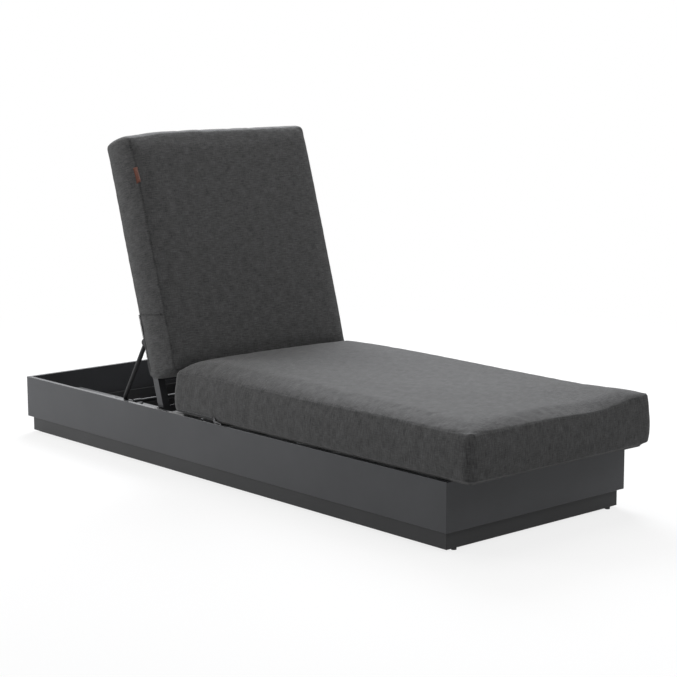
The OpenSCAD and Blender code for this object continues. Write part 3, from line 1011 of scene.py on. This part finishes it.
@dataclass
class BackFrame:
    """Tube frame with slats that turns on the hinge bolts."""

    shop: Workshop
    pattern: Pattern
    tube_edge: float = 0.0014
    cap_edge: float = 0.0007
    slat_count: int = 4
    slat_edge: float = 0.0015
    rivet_r: float = 0.004
    rivet_h: float = 0.0018
    rivet_inset: Pair = (0.016, 0.018)
    rivet_sink: float = 0.0002

    def build(self) -> None:
        """Makes all pieces of the back frame, with rivets through the slats' ends."""
        self.shop.soften((*pair("back_tube"), "back_rail_bottom", "back_rail_top"),
                         Body.BACK, Slot.COAT, self.tube_edge)
        self.shop.soften(pair("back_cap"), Body.BACK, Slot.PLASTIC, self.cap_edge)
        self.shop.keep(pair("stay_pin"), Slot.ROD)
        low, high, pitch = self.pattern.slats(
            "back_slats", [f"back_slat_{i + 1}" for i in range(self.slat_count)],
            Body.BACK, self.slat_edge, PLAN.on_back)
        across, along = self.rivet_inset
        spots = [((x, y + i * pitch, low.z + self.rivet_sink), (0, 0, -1))
                 for i in range(self.slat_count)
                 for x in (low.x + across, high.x - across)
                 for y in (low.y + along, high.y - along)]
        self.pattern.make("back_rivets", self.pattern.spots,
                          self.shop.screw(self.rivet_r, self.rivet_h),
                          self.shop.finishes.steel, Body.BACK, Slot.STEEL, PLAN.on_back, spots)


@dataclass
class Stay:
    """Bent rod with two sleeves on its foot bar."""

    shop: Workshop

    def build(self) -> None:
        """Gives the rod its finish."""
        self.shop.keep((*pair("stay_leg"), "stay_bar"), Slot.ROD)


@dataclass(frozen=True)
class Corner:
    """A soft corner: its place in shares of the half sizes and how far it moves."""

    x: float
    y: float
    radius: float
    lift: float = 0.0
    out_x: float = 0.0
    out_y: float = 0.0


@dataclass(frozen=True)
class Ripple:
    """Unevenness of a cover.

    The depth and the reach are in metres. The waves are counted in a metre across, and the
    layer is the noise's third coordinate: in a metre of height on the gusset, fixed on top.
    """

    depth: float
    waves: float
    layer: float
    reach: float = 0.0


@dataclass
class BoxCushion:
    """A foam cushion in a sewn cover: two panels and a gusset between two seams."""

    shop: Workshop
    pattern: Pattern
    name: str
    node: str
    body: Body
    half_w: float
    half_l: float
    side_h: float
    crown: float
    lead: float
    bulge: float
    low_share: float
    corner_r: float
    place: Matrix
    corners: Sequence[Corner]
    seed: float
    head_crown: float = 0.0
    far_rise: float = 0.0
    brow: float = 0.0
    under: float = 1.0
    square: float = 20.0
    roll: float = 0.6
    cell: float = 0.0105
    seam_z: float = 0.0125
    slack: float = 0.003
    cap: float = 0.0024
    frames: int = 22
    fill: float = 0.9
    near: tuple[float, ...] = (0.0, 0.0032, 0.0072, 0.0125, 0.020)
    undercut: tuple[Pair, ...] = ((0.0, 0.95), (0.004, 0.74), (0.0085, 0.30))
    furrows: tuple[tuple[int, float], ...] = (
        (2, 0.0008), (3, -0.0018), (4, 0.0008), (-2, 0.0010), (-1, -0.0014))
    low_rows: Triple = (0.0, 0.0028, 0.007)
    middle_rows: tuple[float, float, int] = (0.015, 0.012, 9)
    high_rows: Triple = (0.0065, 0.0028, 0.0)
    shoulder_power: float = 2.8
    dome_power: float = 6
    dome_share: float = 0.3
    side_hold: float = 0.04
    top_hold: Triple = (0.25, 0.10, 0.01)
    side_fine: Ripple = Ripple(0.0014, 34, 7, 0.03)
    side_wide: Ripple = Ripple(0.0022, 5, 6)
    top_fine: Ripple = Ripple(0.0006, 30, 3.0, 0.05)
    top_wide: Ripple = Ripple(0.0024, 4.5, 1.0, 0.16)
    brow_depth: float = 0.004
    brow_power: float = 3.2
    tightness: int = 4
    low_pull: float = 0.3
    foot_tuck: float = 0.1

    def __post_init__(self) -> None:
        """Spaces the points along the sides and up the gusset."""
        self.shares = (self._spacing(2 * self.half_w), self._spacing(2 * self.half_l))
        low, high = self.seam_z, self.side_h
        first, last, number = self.middle_rows
        rows = [*(low + rise for rise in self.low_rows),
                *np.linspace(low + first, high - last, number),
                *(high - drop for drop in self.high_rows)]
        self.levels = [(z, -tuck * self.under * self.bulge) for z, tuck in self.undercut]
        self.levels += [(z, self._swell(z)) for z in rows]
        self.count = 2 * (len(self.shares[0]) + len(self.shares[1]) - 2)
        self.start = self.count * len(self.levels)

    def _swell(self, z: float) -> float:
        """Outward swell of the gusset at a height."""
        turn = math.pi * min(z / self.side_h, 1.0) ** self.low_share
        return self.bulge * max(math.sin(turn), 0.0) ** (1.0 if turn < math.pi / 2 else self.roll)

    def _spacing(self, length: float) -> Array:
        """Spaces the points along a side, closer near both ends.

        Args:
            length: Length of the side.

        Returns:
            The points' places, in shares of the length.
        """
        lead = np.array(self.near) / length
        cells = max(4, round((length - 2 * self.near[-1]) / self.cell))
        middle = np.linspace(lead[-1], 1 - lead[-1], cells + 1)
        return np.concatenate([lead[:-1], middle, 1 - lead[:-1][::-1]])

    def _side(self, number: int, shares: Array, grow: float) -> tuple[Array, Array]:
        """Points and outward directions along one side of the rounded outline.

        Args:
            number: 0 foot, 1 right, 2 head, 3 left, anticlockwise.
            shares: Places along it, from the middle of one corner to the next.
            grow: Outward offset.

        Returns:
            Arrays of points and of directions, in the plan.
        """
        halves = (self.half_w, self.half_l)
        along, across = halves if number % 2 == 0 else halves[::-1]
        radius = self.corner_r
        quarter, straight = radius * math.pi / 4, 2 * (along - radius)
        s = shares * (straight + 2 * quarter)
        turn = (np.maximum((s - quarter - straight) / radius, 0)
                - np.maximum((quarter - s) / radius, 0))
        middle = np.clip(s - quarter, 0, straight) - straight / 2
        out = np.stack([np.sin(turn), -np.cos(turn)], 1)
        core = np.stack([middle, np.full_like(middle, radius - across)], 1)
        cos, sin = math.cos(math.pi / 2 * number), math.sin(math.pi / 2 * number)
        spin = np.array([[cos, sin], [-sin, cos]])
        return (core + out * (radius + grow)) @ spin, out @ spin

    def _ring(self, grow: float) -> tuple[Array, Array]:
        """The whole outline as a closed ring of points and directions."""
        parts = [self._side(k, self.shares[k % 2][:-1], grow) for k in range(4)]
        return np.concatenate([p[0] for p in parts]), np.concatenate([p[1] for p in parts])

    def _panel(self, grow: float) -> Array:
        """The inner points of a panel, blended from the four sides of its outline.

        Args:
            grow: Outward offset of the outline.

        Returns:
            The points, in the plan.
        """
        u, v = self.shares
        foot, right = self._side(0, u, grow)[0], self._side(1, v, grow)[0]
        head, left = self._side(2, 1 - u, grow)[0], self._side(3, 1 - v, grow)[0]
        a, b = u[:, None, None], v[None, :, None]
        corners = ((1 - a) * (1 - b) * foot[0] + a * (1 - b) * foot[-1]
                   + (1 - a) * b * head[0] + a * b * head[-1])
        grid = ((1 - b) * foot[:, None] + b * head[:, None]
                + (1 - a) * left[None] + a * right[None] - corners)
        return grid[1:-1, 1:-1].reshape(-1, 2)

    def _panel_faces(self, ring: int, inner: int) -> Array:
        """Faces of a panel.

        Args:
            ring: First number of the ring round it.
            inner: First number of its own points.

        Returns:
            Four numbers for each face.
        """
        nu, nv = (len(shares) for shares in self.shares)
        numbers = np.empty((nu, nv), int)
        numbers[1:-1, 1:-1] = inner + np.arange((nu - 2) * (nv - 2)).reshape(nu - 2, nv - 2)
        rim = np.split(ring + np.arange(self.count), np.cumsum([nu - 1, nv - 1, nu - 1]))
        numbers[:-1, 0], numbers[-1, :-1] = rim[0], rim[1]
        numbers[:0:-1, -1], numbers[0, :0:-1] = rim[2], rim[3]
        quads = (numbers[:-1, :-1], numbers[1:, :-1], numbers[1:, 1:], numbers[:-1, 1:])
        return np.stack(quads, -1).reshape(-1, 4)

    def _rise(self, x: Array, y: Array) -> Array:
        """Height of the top panel above its seam.

        Args:
            x: Places across the cushion.
            y: Places along it.

        Returns:
            A height for each place.
        """
        n = self.square
        share = ((np.abs(x) / self.half_w) ** n + (np.abs(y) / self.half_l) ** n) ** (1 / n)
        edge = np.clip(self._inset(x, y) / self.lead, 0, 1)
        shoulder = 1 - (1 - edge) ** self.shoulder_power
        dome = np.sqrt(np.clip(1 - share ** self.dome_power, 0, 1))
        return ((self.crown + self.head_crown * y / self.half_l)
                * ((1 - self.dome_share) * shoulder + self.dome_share * dome))

    def _inset(self, x: Array, y: Array) -> Array:
        """Distance from the nearest side."""
        return np.minimum(self.half_w - np.abs(x), self.half_l - np.abs(y))

    def build(self) -> None:
        """Makes the cushion's mesh, settles it and dresses it."""
        count, last = self.count, self.start - self.count
        rings = [self._ring(swell) for _, swell in self.levels]
        floor, top = (self._panel(self.levels[k][1]) for k in (0, -1))
        points = [np.column_stack([ring, np.full(count, z)])
                  for (ring, _), (z, _) in zip(rings, self.levels)]
        points.append(np.column_stack([floor, np.zeros(len(floor))]))
        points.append(np.column_stack([top, self.side_h + self._rise(top[:, 0], top[:, 1])]))
        points = np.concatenate(points)
        panels = np.concatenate([self._panel_faces(0, self.start)[:, ::-1],
                                 self._panel_faces(last, self.start + len(floor))])
        faces, maps = panels.tolist(), points[panels][..., :2].tolist()
        steps = np.linalg.norm(np.roll(rings[-1][0], -1, 0) - rings[-1][0], axis=1)
        girth = [0, *np.cumsum(steps)]
        for k, ((z0, _), (z1, _)) in enumerate(zip(self.levels, self.levels[1:])):
            faces += belt(count, k * count, (k + 1) * count)
            maps += [((z0, a), (z0, b), (z1, b), (z1, a)) for a, b in zip(girth, girth[1:])]
        line = np.zeros(len(points))
        for seam in (LOW_SEAM * count, last):
            line[seam:seam + count] = 1.0
        top_start = self.start + len(floor)
        points = self._settle(points, faces, line, top_start)
        points = self._shape(points, [out for _, out in rings], top_start)
        made = self.shop.raw(self.name, points, faces, maps)
        # The two seam lines get painted shade in the weave's colour.
        self.shop.mark_seam(made, line)
        made.data.transform(self.place)
        self.shop.smooth(made, math.pi)
        rounder = made.modifiers.new("Rounding", "SUBSURF")
        rounder.levels = rounder.render_levels = 1
        self.shop.dress(made, self.body, Slot.FABRIC, [self.node])

    def _settle(self, points: Array, faces: list, line: Array, top_start: int) -> Array:
        """Lets the cover take its creases between the seams, over the foam.

        Args:
            points: The cushion's points.
            faces: Its faces.
            line: 1 on the two seams.
            top_start: Number of the top panel's first point.

        Returns:
            The settled points.
        """
        made = self.shop.raw(self.name + "_cover", points, faces)
        hold = np.where(line > 0, 1.0, self.side_hold)
        hold[:(LOW_SEAM + 1) * self.count] = 1.0
        hold[self.start:top_start] = 1.0
        x, y, _ = points[top_start:].T
        reach, middle, rim = self.top_hold
        hold[top_start:] = np.clip(self._inset(x, y) / reach, 0, 1) * middle + rim
        group = made.vertex_groups.new(name="hold")
        for number, weight in enumerate(hold):
            group.add([number], float(weight), "REPLACE")
        cloth = made.modifiers.new("Cloth", "CLOTH")
        for key, value in COVER_CLOTH.items():
            setattr(cloth.settings, key, value)
        cloth.settings.shrink_min = -self.slack
        cloth.settings.effector_weights.gravity = 0.0
        cloth.collision_settings.use_collision = False
        cloth.point_cache.frame_start, cloth.point_cache.frame_end = 1, self.frames
        scene = bpy.context.scene
        for step in range(1, self.frames + 1):
            scene.frame_set(step)
        graph = bpy.context.evaluated_depsgraph_get()
        moved = np.empty(len(points) * 3, np.float32)
        made.evaluated_get(graph).data.vertices.foreach_get("co", moved)
        moved = moved.reshape(-1, 3).astype(float) - points
        scene.frame_set(1)
        far = np.linalg.norm(moved, axis=1)
        LOG.info("%s settled by up to %.1f mm, %.1f mm on average", self.name,
                 far.max() * 1000, far.mean() * 1000)
        discard(made)
        limited = np.tanh(far / self.cap) * self.cap / np.maximum(far, 1e-9)
        return points + moved * limited[:, None]

    def _shape(self, points: Array, outward: list[Array], top_start: int) -> Array:
        """Adds seam furrows, puckers beside them and the soft corners.

        Args:
            points: The settled points.
            outward: Outward directions of every ring.
            top_start: Number of the top panel's first point.

        Returns:
            The final points.
        """
        out, seed, count, rings = points.copy(), self.seed, self.count, len(outward)
        for k, lift in self.furrows:
            start = k % rings * count
            out[start:start + count, :2] += outward[k] * lift
        fine, wide = self.side_fine, self.side_wide
        for k in range(LOW_SEAM + 1, rings - 1):
            z = self.levels[k][0]
            gap = min(z - self.seam_z, self.side_h - z)
            for i, (x, y, _) in enumerate(points[k * count:(k + 1) * count]):
                pucker = noise.noise((x * fine.waves + seed, y * fine.waves, z * fine.layer))
                swell = noise.noise((x * wide.waves, y * wide.waves + seed, z * wide.layer))
                lift = fine.depth * pucker * math.exp(-gap / fine.reach) + wide.depth * swell
                out[k * count + i, :2] += outward[k][i] * lift
        fine, wide = self.top_fine, self.top_wide
        for n in range(top_start, len(points)):
            x, y, _ = points[n]
            edge = float(self._inset(x, y))
            pucker = noise.noise((x * fine.waves, y * fine.waves + seed, fine.layer))
            swell = noise.noise((x * wide.waves + seed, y * wide.waves, wide.layer))
            out[n, 2] += fine.depth * pucker * math.exp(-max(edge, 0) / fine.reach)
            out[n, 2] += wide.depth * swell * min(1.0, edge / wide.reach)
        x, y, z = points.T
        share = np.clip(z / self.side_h, 0, 1)
        out[:, 2] += self.far_rise * share * (x / self.half_w + 1) / 2
        head = np.clip((y - self.half_l + self.brow_depth) / self.brow_depth, 0, 1)
        out[:, 1] += self.brow * head * np.sin(math.pi * share ** self.brow_power)
        for spot in self.corners:
            far = np.hypot(x - spot.x * self.half_w, y - spot.y * self.half_l)
            near = np.exp(-(far / spot.radius) ** 2)
            tight = near ** self.tightness * (self.low_pull + (1 - self.low_pull) * share)
            out += np.stack([spot.out_x * tight, spot.out_y * tight, spot.lift * near * share], 1)
        return out

    def girth(self) -> float:
        """Length of the outline."""
        return 4 * (self.half_w + self.half_l - 2 * self.corner_r) + math.tau * self.corner_r

    def gusset(self, s: float, z: float, proud: float = 0.0) -> tuple[Vector, Vector]:
        """A point of the gusset and its outward direction, in the cushion's own frame.

        Args:
            s: Way along the outline from the middle of the foot side, anticlockwise.
            z: Height above the base.
            proud: Distance off the surface.

        Returns:
            The point and the direction.
        """
        quarter = self.corner_r * math.pi / 4
        lengths = [2 * (half - self.corner_r + quarter) for half in (self.half_w, self.half_l)] * 2
        s = (s + lengths[0] / 2) % sum(lengths)
        number = 0
        while s > lengths[number]:
            s -= lengths[number]
            number += 1
        swell = self._swell(z) if z > self.seam_z else -self.foot_tuck * self.bulge
        p, d = self._side(number, np.array([s / lengths[number]]), swell + proud)
        return Vector((*p[0], z)), Vector((*d[0], 0))


@dataclass
class ZipRun:
    """Zip sewn round a side of a gusset: tape and teeth."""

    cushion: BoxCushion
    reach: float
    turned: bool = False
    height: float = 0.0145
    tape_w: float = 0.015
    tape_t: float = 0.0012
    tooth: float = 0.0024
    tooth_share: float = 0.36
    tooth_half: float = 0.0027
    tooth_top: Triple = (0.6, 0.7, 0.0011)
    groove: float = 0.1
    proud: Pair = (0.0011, 0.0003)
    step: float = 0.008
    rows: tuple[float, ...] = (-0.5, -0.2, -0.06, 0.06, 0.2, 0.5)

    def _path(self, height: float, proud: float) -> list[tuple[Vector, Vector]]:
        """Spots along the run, round the foot side or, turned, round the head side.

        Args:
            height: Height above the cushion's base.
            proud: Distance off the gusset.

        Returns:
            Points, each with its outward direction.
        """
        middle = self.cushion.girth() / 2 if self.turned else 0.0
        steps = round(self.reach * 2 / self.step)
        return [self.cushion.gusset(middle + self.reach * (2 * i / steps - 1), height, proud)
                for i in range(steps + 1)]

    def build(self, name: str) -> None:
        """Makes the tape and the teeth.

        Args:
            name: First part of the pieces' names.
        """
        shop, cushion = self.cushion.shop, self.cushion
        raised, sunk = self.proud
        rows = [[p for p, _ in self._path(self.height + row * self.tape_w,
                                          raised if abs(row) > self.groove else sunk)]
                for row in self.rows]
        tape = shop.sheets(name + "_tape", [(rows, Winding.ALONG)],
                           lambda r, c: (self.rows[r] * self.tape_w, c * self.step))
        shop.sew(tape, cushion.place, self.tape_t, offset=-1.0)
        shop.dress(tape, cushion.body, Slot.FABRIC, material=shop.finishes.zip_tape)
        cushion.pattern.make(name + "_teeth", cushion.pattern.run, self._tooth(),
                             shop.finishes.plastic, cushion.body, Slot.FABRIC, cushion.place,
                             self._path(self.height, self.tape_t), True, Spacing=self.tooth)

    def _tooth(self) -> Object:
        """One coil turn, a small hump across the tape.

        Returns:
            The piece.
        """
        x, y = self.tooth * self.tooth_share, self.tooth_half
        points = [(a * x * p, b * y * q, z) for p, q, z in ((1, 1, 0), self.tooth_top)
                  for a, b in ((-1, -1), (1, -1), (1, 1), (-1, 1))]
        return self.cushion.shop.solid("tooth", points, prism(4))


@dataclass
class LapSeam:
    """A folded edge sewn across the gusset, with a row of stitches; the fold's colour carries
    painted shade.
    """

    cushion: BoxCushion
    name: str
    first: Pair
    last: Pair
    width: float = 0.0042
    proud: float = 0.0011
    stitch: float = 0.0034
    # Strength of the painted shade on the fold.
    shade: float = 1.7
    steps: int = 30
    thick: float = 0.0008
    profile: tuple[Pair, ...] = ((0, 0), (0, 1), (0.6, 1), (1, 0.1))
    stitch_line: Pair = (0.9, 0.6)
    stitch_form: Triple = (0.36, 0.00045, 0.0007)
    weave_step: Pair = (0.002, 0.004)

    def build(self) -> None:
        """Makes the fold and the stitches."""
        shop, cushion = self.cushion.shop, self.cushion
        rows, stitches = [[] for _ in self.profile], []
        sewn, sunk = self.stitch_line
        across, along = self.weave_step
        for i in range(self.steps + 1):
            s, z = Vector(self.first).lerp(Vector(self.last), i / self.steps)
            for row, (ahead, lift) in zip(rows, self.profile):
                row.append(cushion.gusset(s + ahead * self.width, z, lift * self.proud)[0])
            stitches.append(cushion.gusset(s + sewn * self.width, z, self.proud * sunk))
        fold = shop.sheets(self.name + "_fold", [(rows, Winding.ACROSS)],
                           lambda r, c: (r * across, c * along))
        # Painted shade: the whole fold is darkened in the weave's colour.
        shop.mark_seam(fold, np.full(len(fold.data.vertices), self.shade))
        shop.sew(fold, cushion.place, self.thick, offset=1.0)
        shop.dress(fold, cushion.body, Slot.FABRIC, material=shop.finishes.fabric)
        cushion.pattern.make(self.name + "_stitches", cushion.pattern.run, self._stitch(),
                             shop.finishes.thread, cushion.body, Slot.FABRIC, cushion.place,
                             stitches, True, Spacing=self.stitch)

    def _stitch(self) -> Object:
        """One stitch lying along X, its underside at z = 0.

        Returns:
            The piece.
        """
        share, wide, high = self.stitch_form
        half = self.stitch * share
        ends = ((-1.0, 0.0), (-0.8, 0.75), (0.0, 1.0), (0.8, 0.75), (1.0, 0.0))
        points = [(half * a, wide * b * side, high * b * up)
                  for a, b in ends for side, up in ((-1, 0), (0, 1), (1, 0))]
        faces = [(0, 2, 1), (12, 13, 14)]
        for k in range(4):
            faces += belt(3, 3 * k, 3 * k + 3)
        return self.cushion.shop.solid("stitch", points, faces)


@dataclass
class ZipPull:
    """Slider on the teeth and the pull that lies along the zip."""

    cushion: BoxCushion
    start: float
    height: float = 0.0145
    slider: Triple = (0.010, 0.009, 0.0042)
    slider_proud: float = 0.0012
    length: float = 0.038
    width: float = 0.0056
    thick: float = 0.0016
    proud: float = 0.0046
    droop: float = 0.0090
    bend: float = 6.0
    edge: float = 0.0004

    def build(self, name: str) -> None:
        """Makes the slider and the pull with its slot.

        Args:
            name: First part of the pieces' names.
        """
        self._plate(name + "_slider", ((0, 0.5), (0.25, 0.62), (0.8, 0.45), (1.0, 0.3)),
                    self.slider, self.slider_proud, 0.0)
        self._plate(name + "_pull", ((0, 0.32), (0.08, 0.5), (0.92, 0.5), (1.0, 0.32)),
                    (self.length, self.width, self.thick), self.proud, -self.droop,
                    ((0.10, 0.16), (0.18, 0.25), (0.78, 0.25), (0.86, 0.16)))

    def _plate(self, name: str, loop: Sequence[Pair], size: Triple, proud: float,
               sink: float, hole: Sequence[Pair] = ()) -> None:
        """A flat plate along the zip, with or without a slot.

        Args:
            name: Name of the piece.
            loop: Half its outline in shares of the length and the width.
            size: Length, width and thickness.
            proud: Distance off the gusset.
            sink: Height of its middle line against the teeth's.
            hole: Half the outline of the slot, with as many points.
        """
        cushion, shop = self.cushion, self.cushion.shop
        points = []
        for half in (loop, hole):
            shape = [*half, *((a, -b) for a, b in reversed(half))]
            for level in (0.0, size[2]):
                points += [cushion.gusset(self.start + size[0] * a, self.height, proud + level)[0]
                           + Vector((0, 0, sink * min(1.0, self.bend * a) + size[1] * b))
                           for a, b in shape]
        n = 2 * len(loop)
        faces = belt(n, 0, n) + [tuple(range(n)), tuple(range(n, 2 * n))]
        if hole:
            faces = [face for low, high in ((0, 1), (1, 3), (3, 2), (2, 0))
                     for face in belt(n, low * n, high * n)]
        made = shop.solid(name, points, faces)
        made.data.transform(cushion.place)
        shop.soften_edges(made, self.edge)
        shop.dress(made, cushion.body, Slot.STEEL, material=shop.finishes.pull)


@dataclass
class LabelTab:
    """Blank folded tab of tape in the back cushion's seam."""

    cushion: BoxCushion
    along: float = 0.709
    length: float = 0.047
    reach: float = 0.018
    thick: float = 0.0013
    rows: int = 9
    cols: int = 13
    tuck: float = 0.004
    rise: float = 0.0105
    flat: float = 0.0022
    gape: Triple = (0.003, 0.008, 1.2)
    belly: float = 0.8
    curl: Triple = (0.003, 2.2, 0.6)
    over: Triple = (0.006, 0.004, 1.4)
    sag: Pair = (0.007, 0.4)

    def _point(self, leaf: int, v: float, w: float) -> Vector:
        """A point of the open, drooping loop.

        Args:
            leaf: 0 below, 1 above.
            v: Share of the way out of the seam.
            w: Share of the way along it.

        Returns:
            The point, in the frame of the back lying flat.
        """
        least, more, power = self.gape
        open_by = least + more * (1 - w) ** power if leaf else -self.flat
        belly = open_by * math.sin(math.pi * v ** self.belly)
        depth, turn, shift = self.curl
        curl = depth * v * v * math.sin(turn * w + shift)
        least, more, power = self.over
        over = (least + more * (1 - w)) * v ** power
        sag, even = self.sag
        return Vector((self.tuck - self.cushion.half_w - (self.reach + self.tuck) * v,
                       self.along + self.length * (w - 0.5) - sag * v * v * (1 - even * w),
                       self.rise + self.cushion.side_h + belly + curl + over))

    def build(self) -> None:
        """Makes the loop from two leaves that meet at their edges."""
        shop, rows, cols = self.cushion.shop, self.rows - 1, self.cols - 1
        leaves = [([[self._point(leaf, r / rows, c / cols) for c in range(cols + 1)]
                    for r in range(rows + 1)], winding)
                  for leaf, winding in enumerate((Winding.BACK, Winding.ALONG))]
        made = shop.sheets("blank_label_tab", leaves,
                           lambda r, c: (self.length * c / cols, self.reach * r / rows))
        with opened(made) as shape:
            bmesh.ops.remove_doubles(shape, verts=shape.verts, dist=TOUCH)
        shop.sew(made, PLAN.on_back, self.thick, offset=0.0, angle=math.pi)
        shop.dress(made, Body.BACK_PAD, Slot.TAPE, ["label_tab"])


@dataclass(frozen=True)
class Lamp:
    """One soft box."""

    name: str
    place: Triple
    aim: Triple
    size: float
    power: float
    tint: Colour = (1.0, 1.0, 1.0)

    def build(self) -> None:
        """Hangs the lamp."""
        data = bpy.data.lights.new(self.name, "AREA")
        data.shape, data.size, data.size_y = "RECTANGLE", self.size, self.size
        data.energy, data.color = self.power, self.tint
        made = link(self.name, data)
        made.location = self.place
        ahead = Vector(self.aim) - Vector(self.place)
        made.rotation_euler = ahead.to_track_quat("-Z", "Y").to_euler()


@dataclass
class Studio:
    """Pale floor, white surroundings, soft boxes and the camera."""

    shop: Workshop
    spot: Triple = (-3.4725, -4.0866, 1.2852)
    yaw: float = 41.38
    pitch: float = 9.34
    roll: float = -0.236
    lens: float = 95.1
    ambient: float = 0.245
    floor_reach: float = 40.0
    floor_share: float = 0.8
    floor_bounce: float = 0.5
    floor_pale: float = 0.92
    # Base colour of the floor under the base: painted shadow.
    floor_dark: float = 0.26
    floor_fade: Pair = (1.6, 3.4)
    # Half sizes of the footprint that gets the painted shadow.
    painted_shadow_half: Pair = (0.323, 0.973)

    def build(self) -> None:
        """Sets the studio up."""
        self._camera()
        self._world()
        self._floor()
        for lamp in (
            Lamp("rear_left_box", (-3.2, 4.2, 1.2), aim=(0, 0.3, 0.3), size=2.0, power=145),
            Lamp("rear_right_box", (1.8, 2.4, 3.0), aim=(0, -0.5, 0.2), size=2.2, power=209,
                 tint=(0.945, 0.96, 1.0)),
            Lamp("overhead_box", (0.2, 0.1, 3.6), aim=(0, -0.4, 0), size=2.4, power=52),
            Lamp("front_box", (0, -3.0, 3.2), aim=(0, -0.8, 0.2), size=2.0, power=32),
        ):
            lamp.build()

    def _camera(self) -> None:
        """The photograph's view."""
        yaw, pitch, roll = (math.radians(a) for a in (self.yaw, self.pitch, self.roll))
        ahead = Vector((math.sin(yaw) * math.cos(pitch), math.cos(yaw) * math.cos(pitch),
                        -math.sin(pitch)))
        right = Vector((math.cos(yaw), -math.sin(yaw), 0))
        up = right.cross(ahead)
        across = right * math.cos(roll) + up * math.sin(roll)
        above = up * math.cos(roll) - right * math.sin(roll)
        data = bpy.data.cameras.new("camera")
        data.lens, data.sensor_width = self.lens, 36.0
        made = link("camera", data)
        made.matrix_world = (Matrix.Translation(self.spot)
                             @ Matrix((across, above, -ahead)).transposed().to_4x4())
        bpy.context.scene.camera = made

    def _world(self) -> None:
        """White where it is seen, plain grey light elsewhere."""
        world = bpy.data.worlds.new("studio")
        bpy.context.scene.world = world
        world.use_nodes = True
        bench = Bench(world.node_tree)
        strength = self.ambient + (1.0 - self.ambient) * bench.white_seen()
        light = bench.flow("ShaderNodeBackground",
                           {"Color": (1.0, 1.0, 1.0, 1.0), "Strength": strength})
        bench.node("ShaderNodeOutputWorld", {0: light})

    def _floor(self) -> None:
        """A wide pale floor that keeps the shadow, with painted shadow in its colour under the
        base's footprint.
        """
        reach = self.floor_reach
        made = self.shop.raw("studio_floor", [(a * reach, b * reach, 0) for a, b in
                                              ((-1, -1), (1, -1), (1, 1), (-1, 1))],
                             [(0, 1, 2, 3)])
        paint = Paint("studio_floor", {"Roughness": 0.9, "Specular IOR Level": 0.05})
        x, y, _ = paint.split(paint.place())
        fade = paint.flow("ShaderNodeMapRange",
                          {0: paint.maths("SQRT", x * x + y * y), 1: self.floor_fade[0],
                           2: self.floor_fade[1], 3: self.floor_share, 4: 1.0},
                          interpolation_type="SMOOTHSTEP")
        # Outside the footprint the floor is pale; inside it gets painted shadow and no glow.
        open_floor = paint.maths("MAXIMUM", *(
            paint.maths("GREATER_THAN", paint.maths("ABSOLUTE", way), half)
            for way, half in zip((x, y - PLAN.mid_y), self.painted_shadow_half)))
        white = paint.white_seen()
        pale = self.floor_bounce + (self.floor_pale - self.floor_bounce) * white
        shade = self.floor_dark + (pale - self.floor_dark) * open_floor
        paint.tree.links.new(shade.socket, paint.shader.inputs["Base Color"])
        mixed = paint.flow("ShaderNodeMixShader", {
            0: white * fade * open_floor, 1: Flow(paint, paint.shader.outputs[0]),
            2: paint.flow("ShaderNodeEmission", {"Strength": 1.0})})
        paint.tree.links.new(mixed.socket, paint.result.inputs[0])
        made.data.materials.append(paint.material)


def cushions(shop: Workshop, pattern: Pattern) -> tuple[BoxCushion, BoxCushion]:
    """The seat's and the back's cushion with their sizes.

    Args:
        shop: Mesh helpers.
        pattern: Geometry Nodes trees.

    Returns:
        The two cushions, not yet built.
    """
    seat_y, clear = -0.4189, 0.0003
    back_y, back_z = 0.107 + 0.3620, 0.0117
    seat = BoxCushion(
        shop, pattern, "seat_cushion_cover", "seat_cushion", Body.SEAT_PAD,
        half_w=0.345, half_l=0.6146, side_h=0.133, crown=0.026, lead=0.074, bulge=0.0135,
        low_share=0.6, corner_r=0.017,
        place=Matrix.Translation((0, seat_y, PLAN.rim_z + clear)),
        corners=(Corner(-1, 1, 0.085, -0.005, -0.005), Corner(1, 1, 0.22, -0.010),
                 Corner(1, -1, 0.14, 0.011, 0.006, -0.003), Corner(0.45, -1, 0.15, -0.010)),
        head_crown=0.009, far_rise=0.0045, seed=2.7)
    back = BoxCushion(
        shop, pattern, "back_cushion_cover", "back_cushion", Body.BACK_PAD,
        half_w=0.3425, half_l=0.3620, side_h=0.137, crown=0.012, lead=0.045, bulge=0.0145,
        low_share=0.8, corner_r=0.011,
        place=PLAN.on_back @ Matrix.Translation((0, back_y, back_z)),
        corners=(Corner(-1, -1, 0.085, -0.004), Corner(1, -1, 0.085, -0.004),
                 Corner(-1, 1, 0.085, -0.003, -0.004, 0.003), Corner(-1, 1, 0.16, 0, 0, -0.014),
                 Corner(1, 1, 0.14, 0.0, -0.0035, 0.0015)),
        brow=0.0048, under=0.4, seed=8.1)
    return seat, back


def main() -> None:
    """Builds the lounger and its studio."""
    logging.basicConfig(level=logging.INFO, format="%(message)s")
    bpy.context.scene.view_settings.view_transform = "Standard"
    shop = Workshop(Finishes())
    Studio(shop).build()
    pattern = Pattern(shop)
    BaseBox(shop, pattern).build()
    BackFrame(shop, pattern).build()
    Stay(shop).build()
    seat, back = cushions(shop, pattern)
    seat.build()
    back.build()
    ZipRun(seat, reach=0.525, turned=True).build("seat_zip")
    ZipRun(back, reach=0.5285).build("back_zip")
    ZipPull(seat, start=seat.girth() / 2 + 0.531).build("seat_zip")
    LapSeam(back, "left_panel_join", (-0.530, 0.022), (-0.512, 0.126)).build()
    LapSeam(back, "right_panel_join", (0.512, 0.126), (0.530, 0.022)).build()
    LabelTab(back).build()


if __name__ == "__main__":
    main()
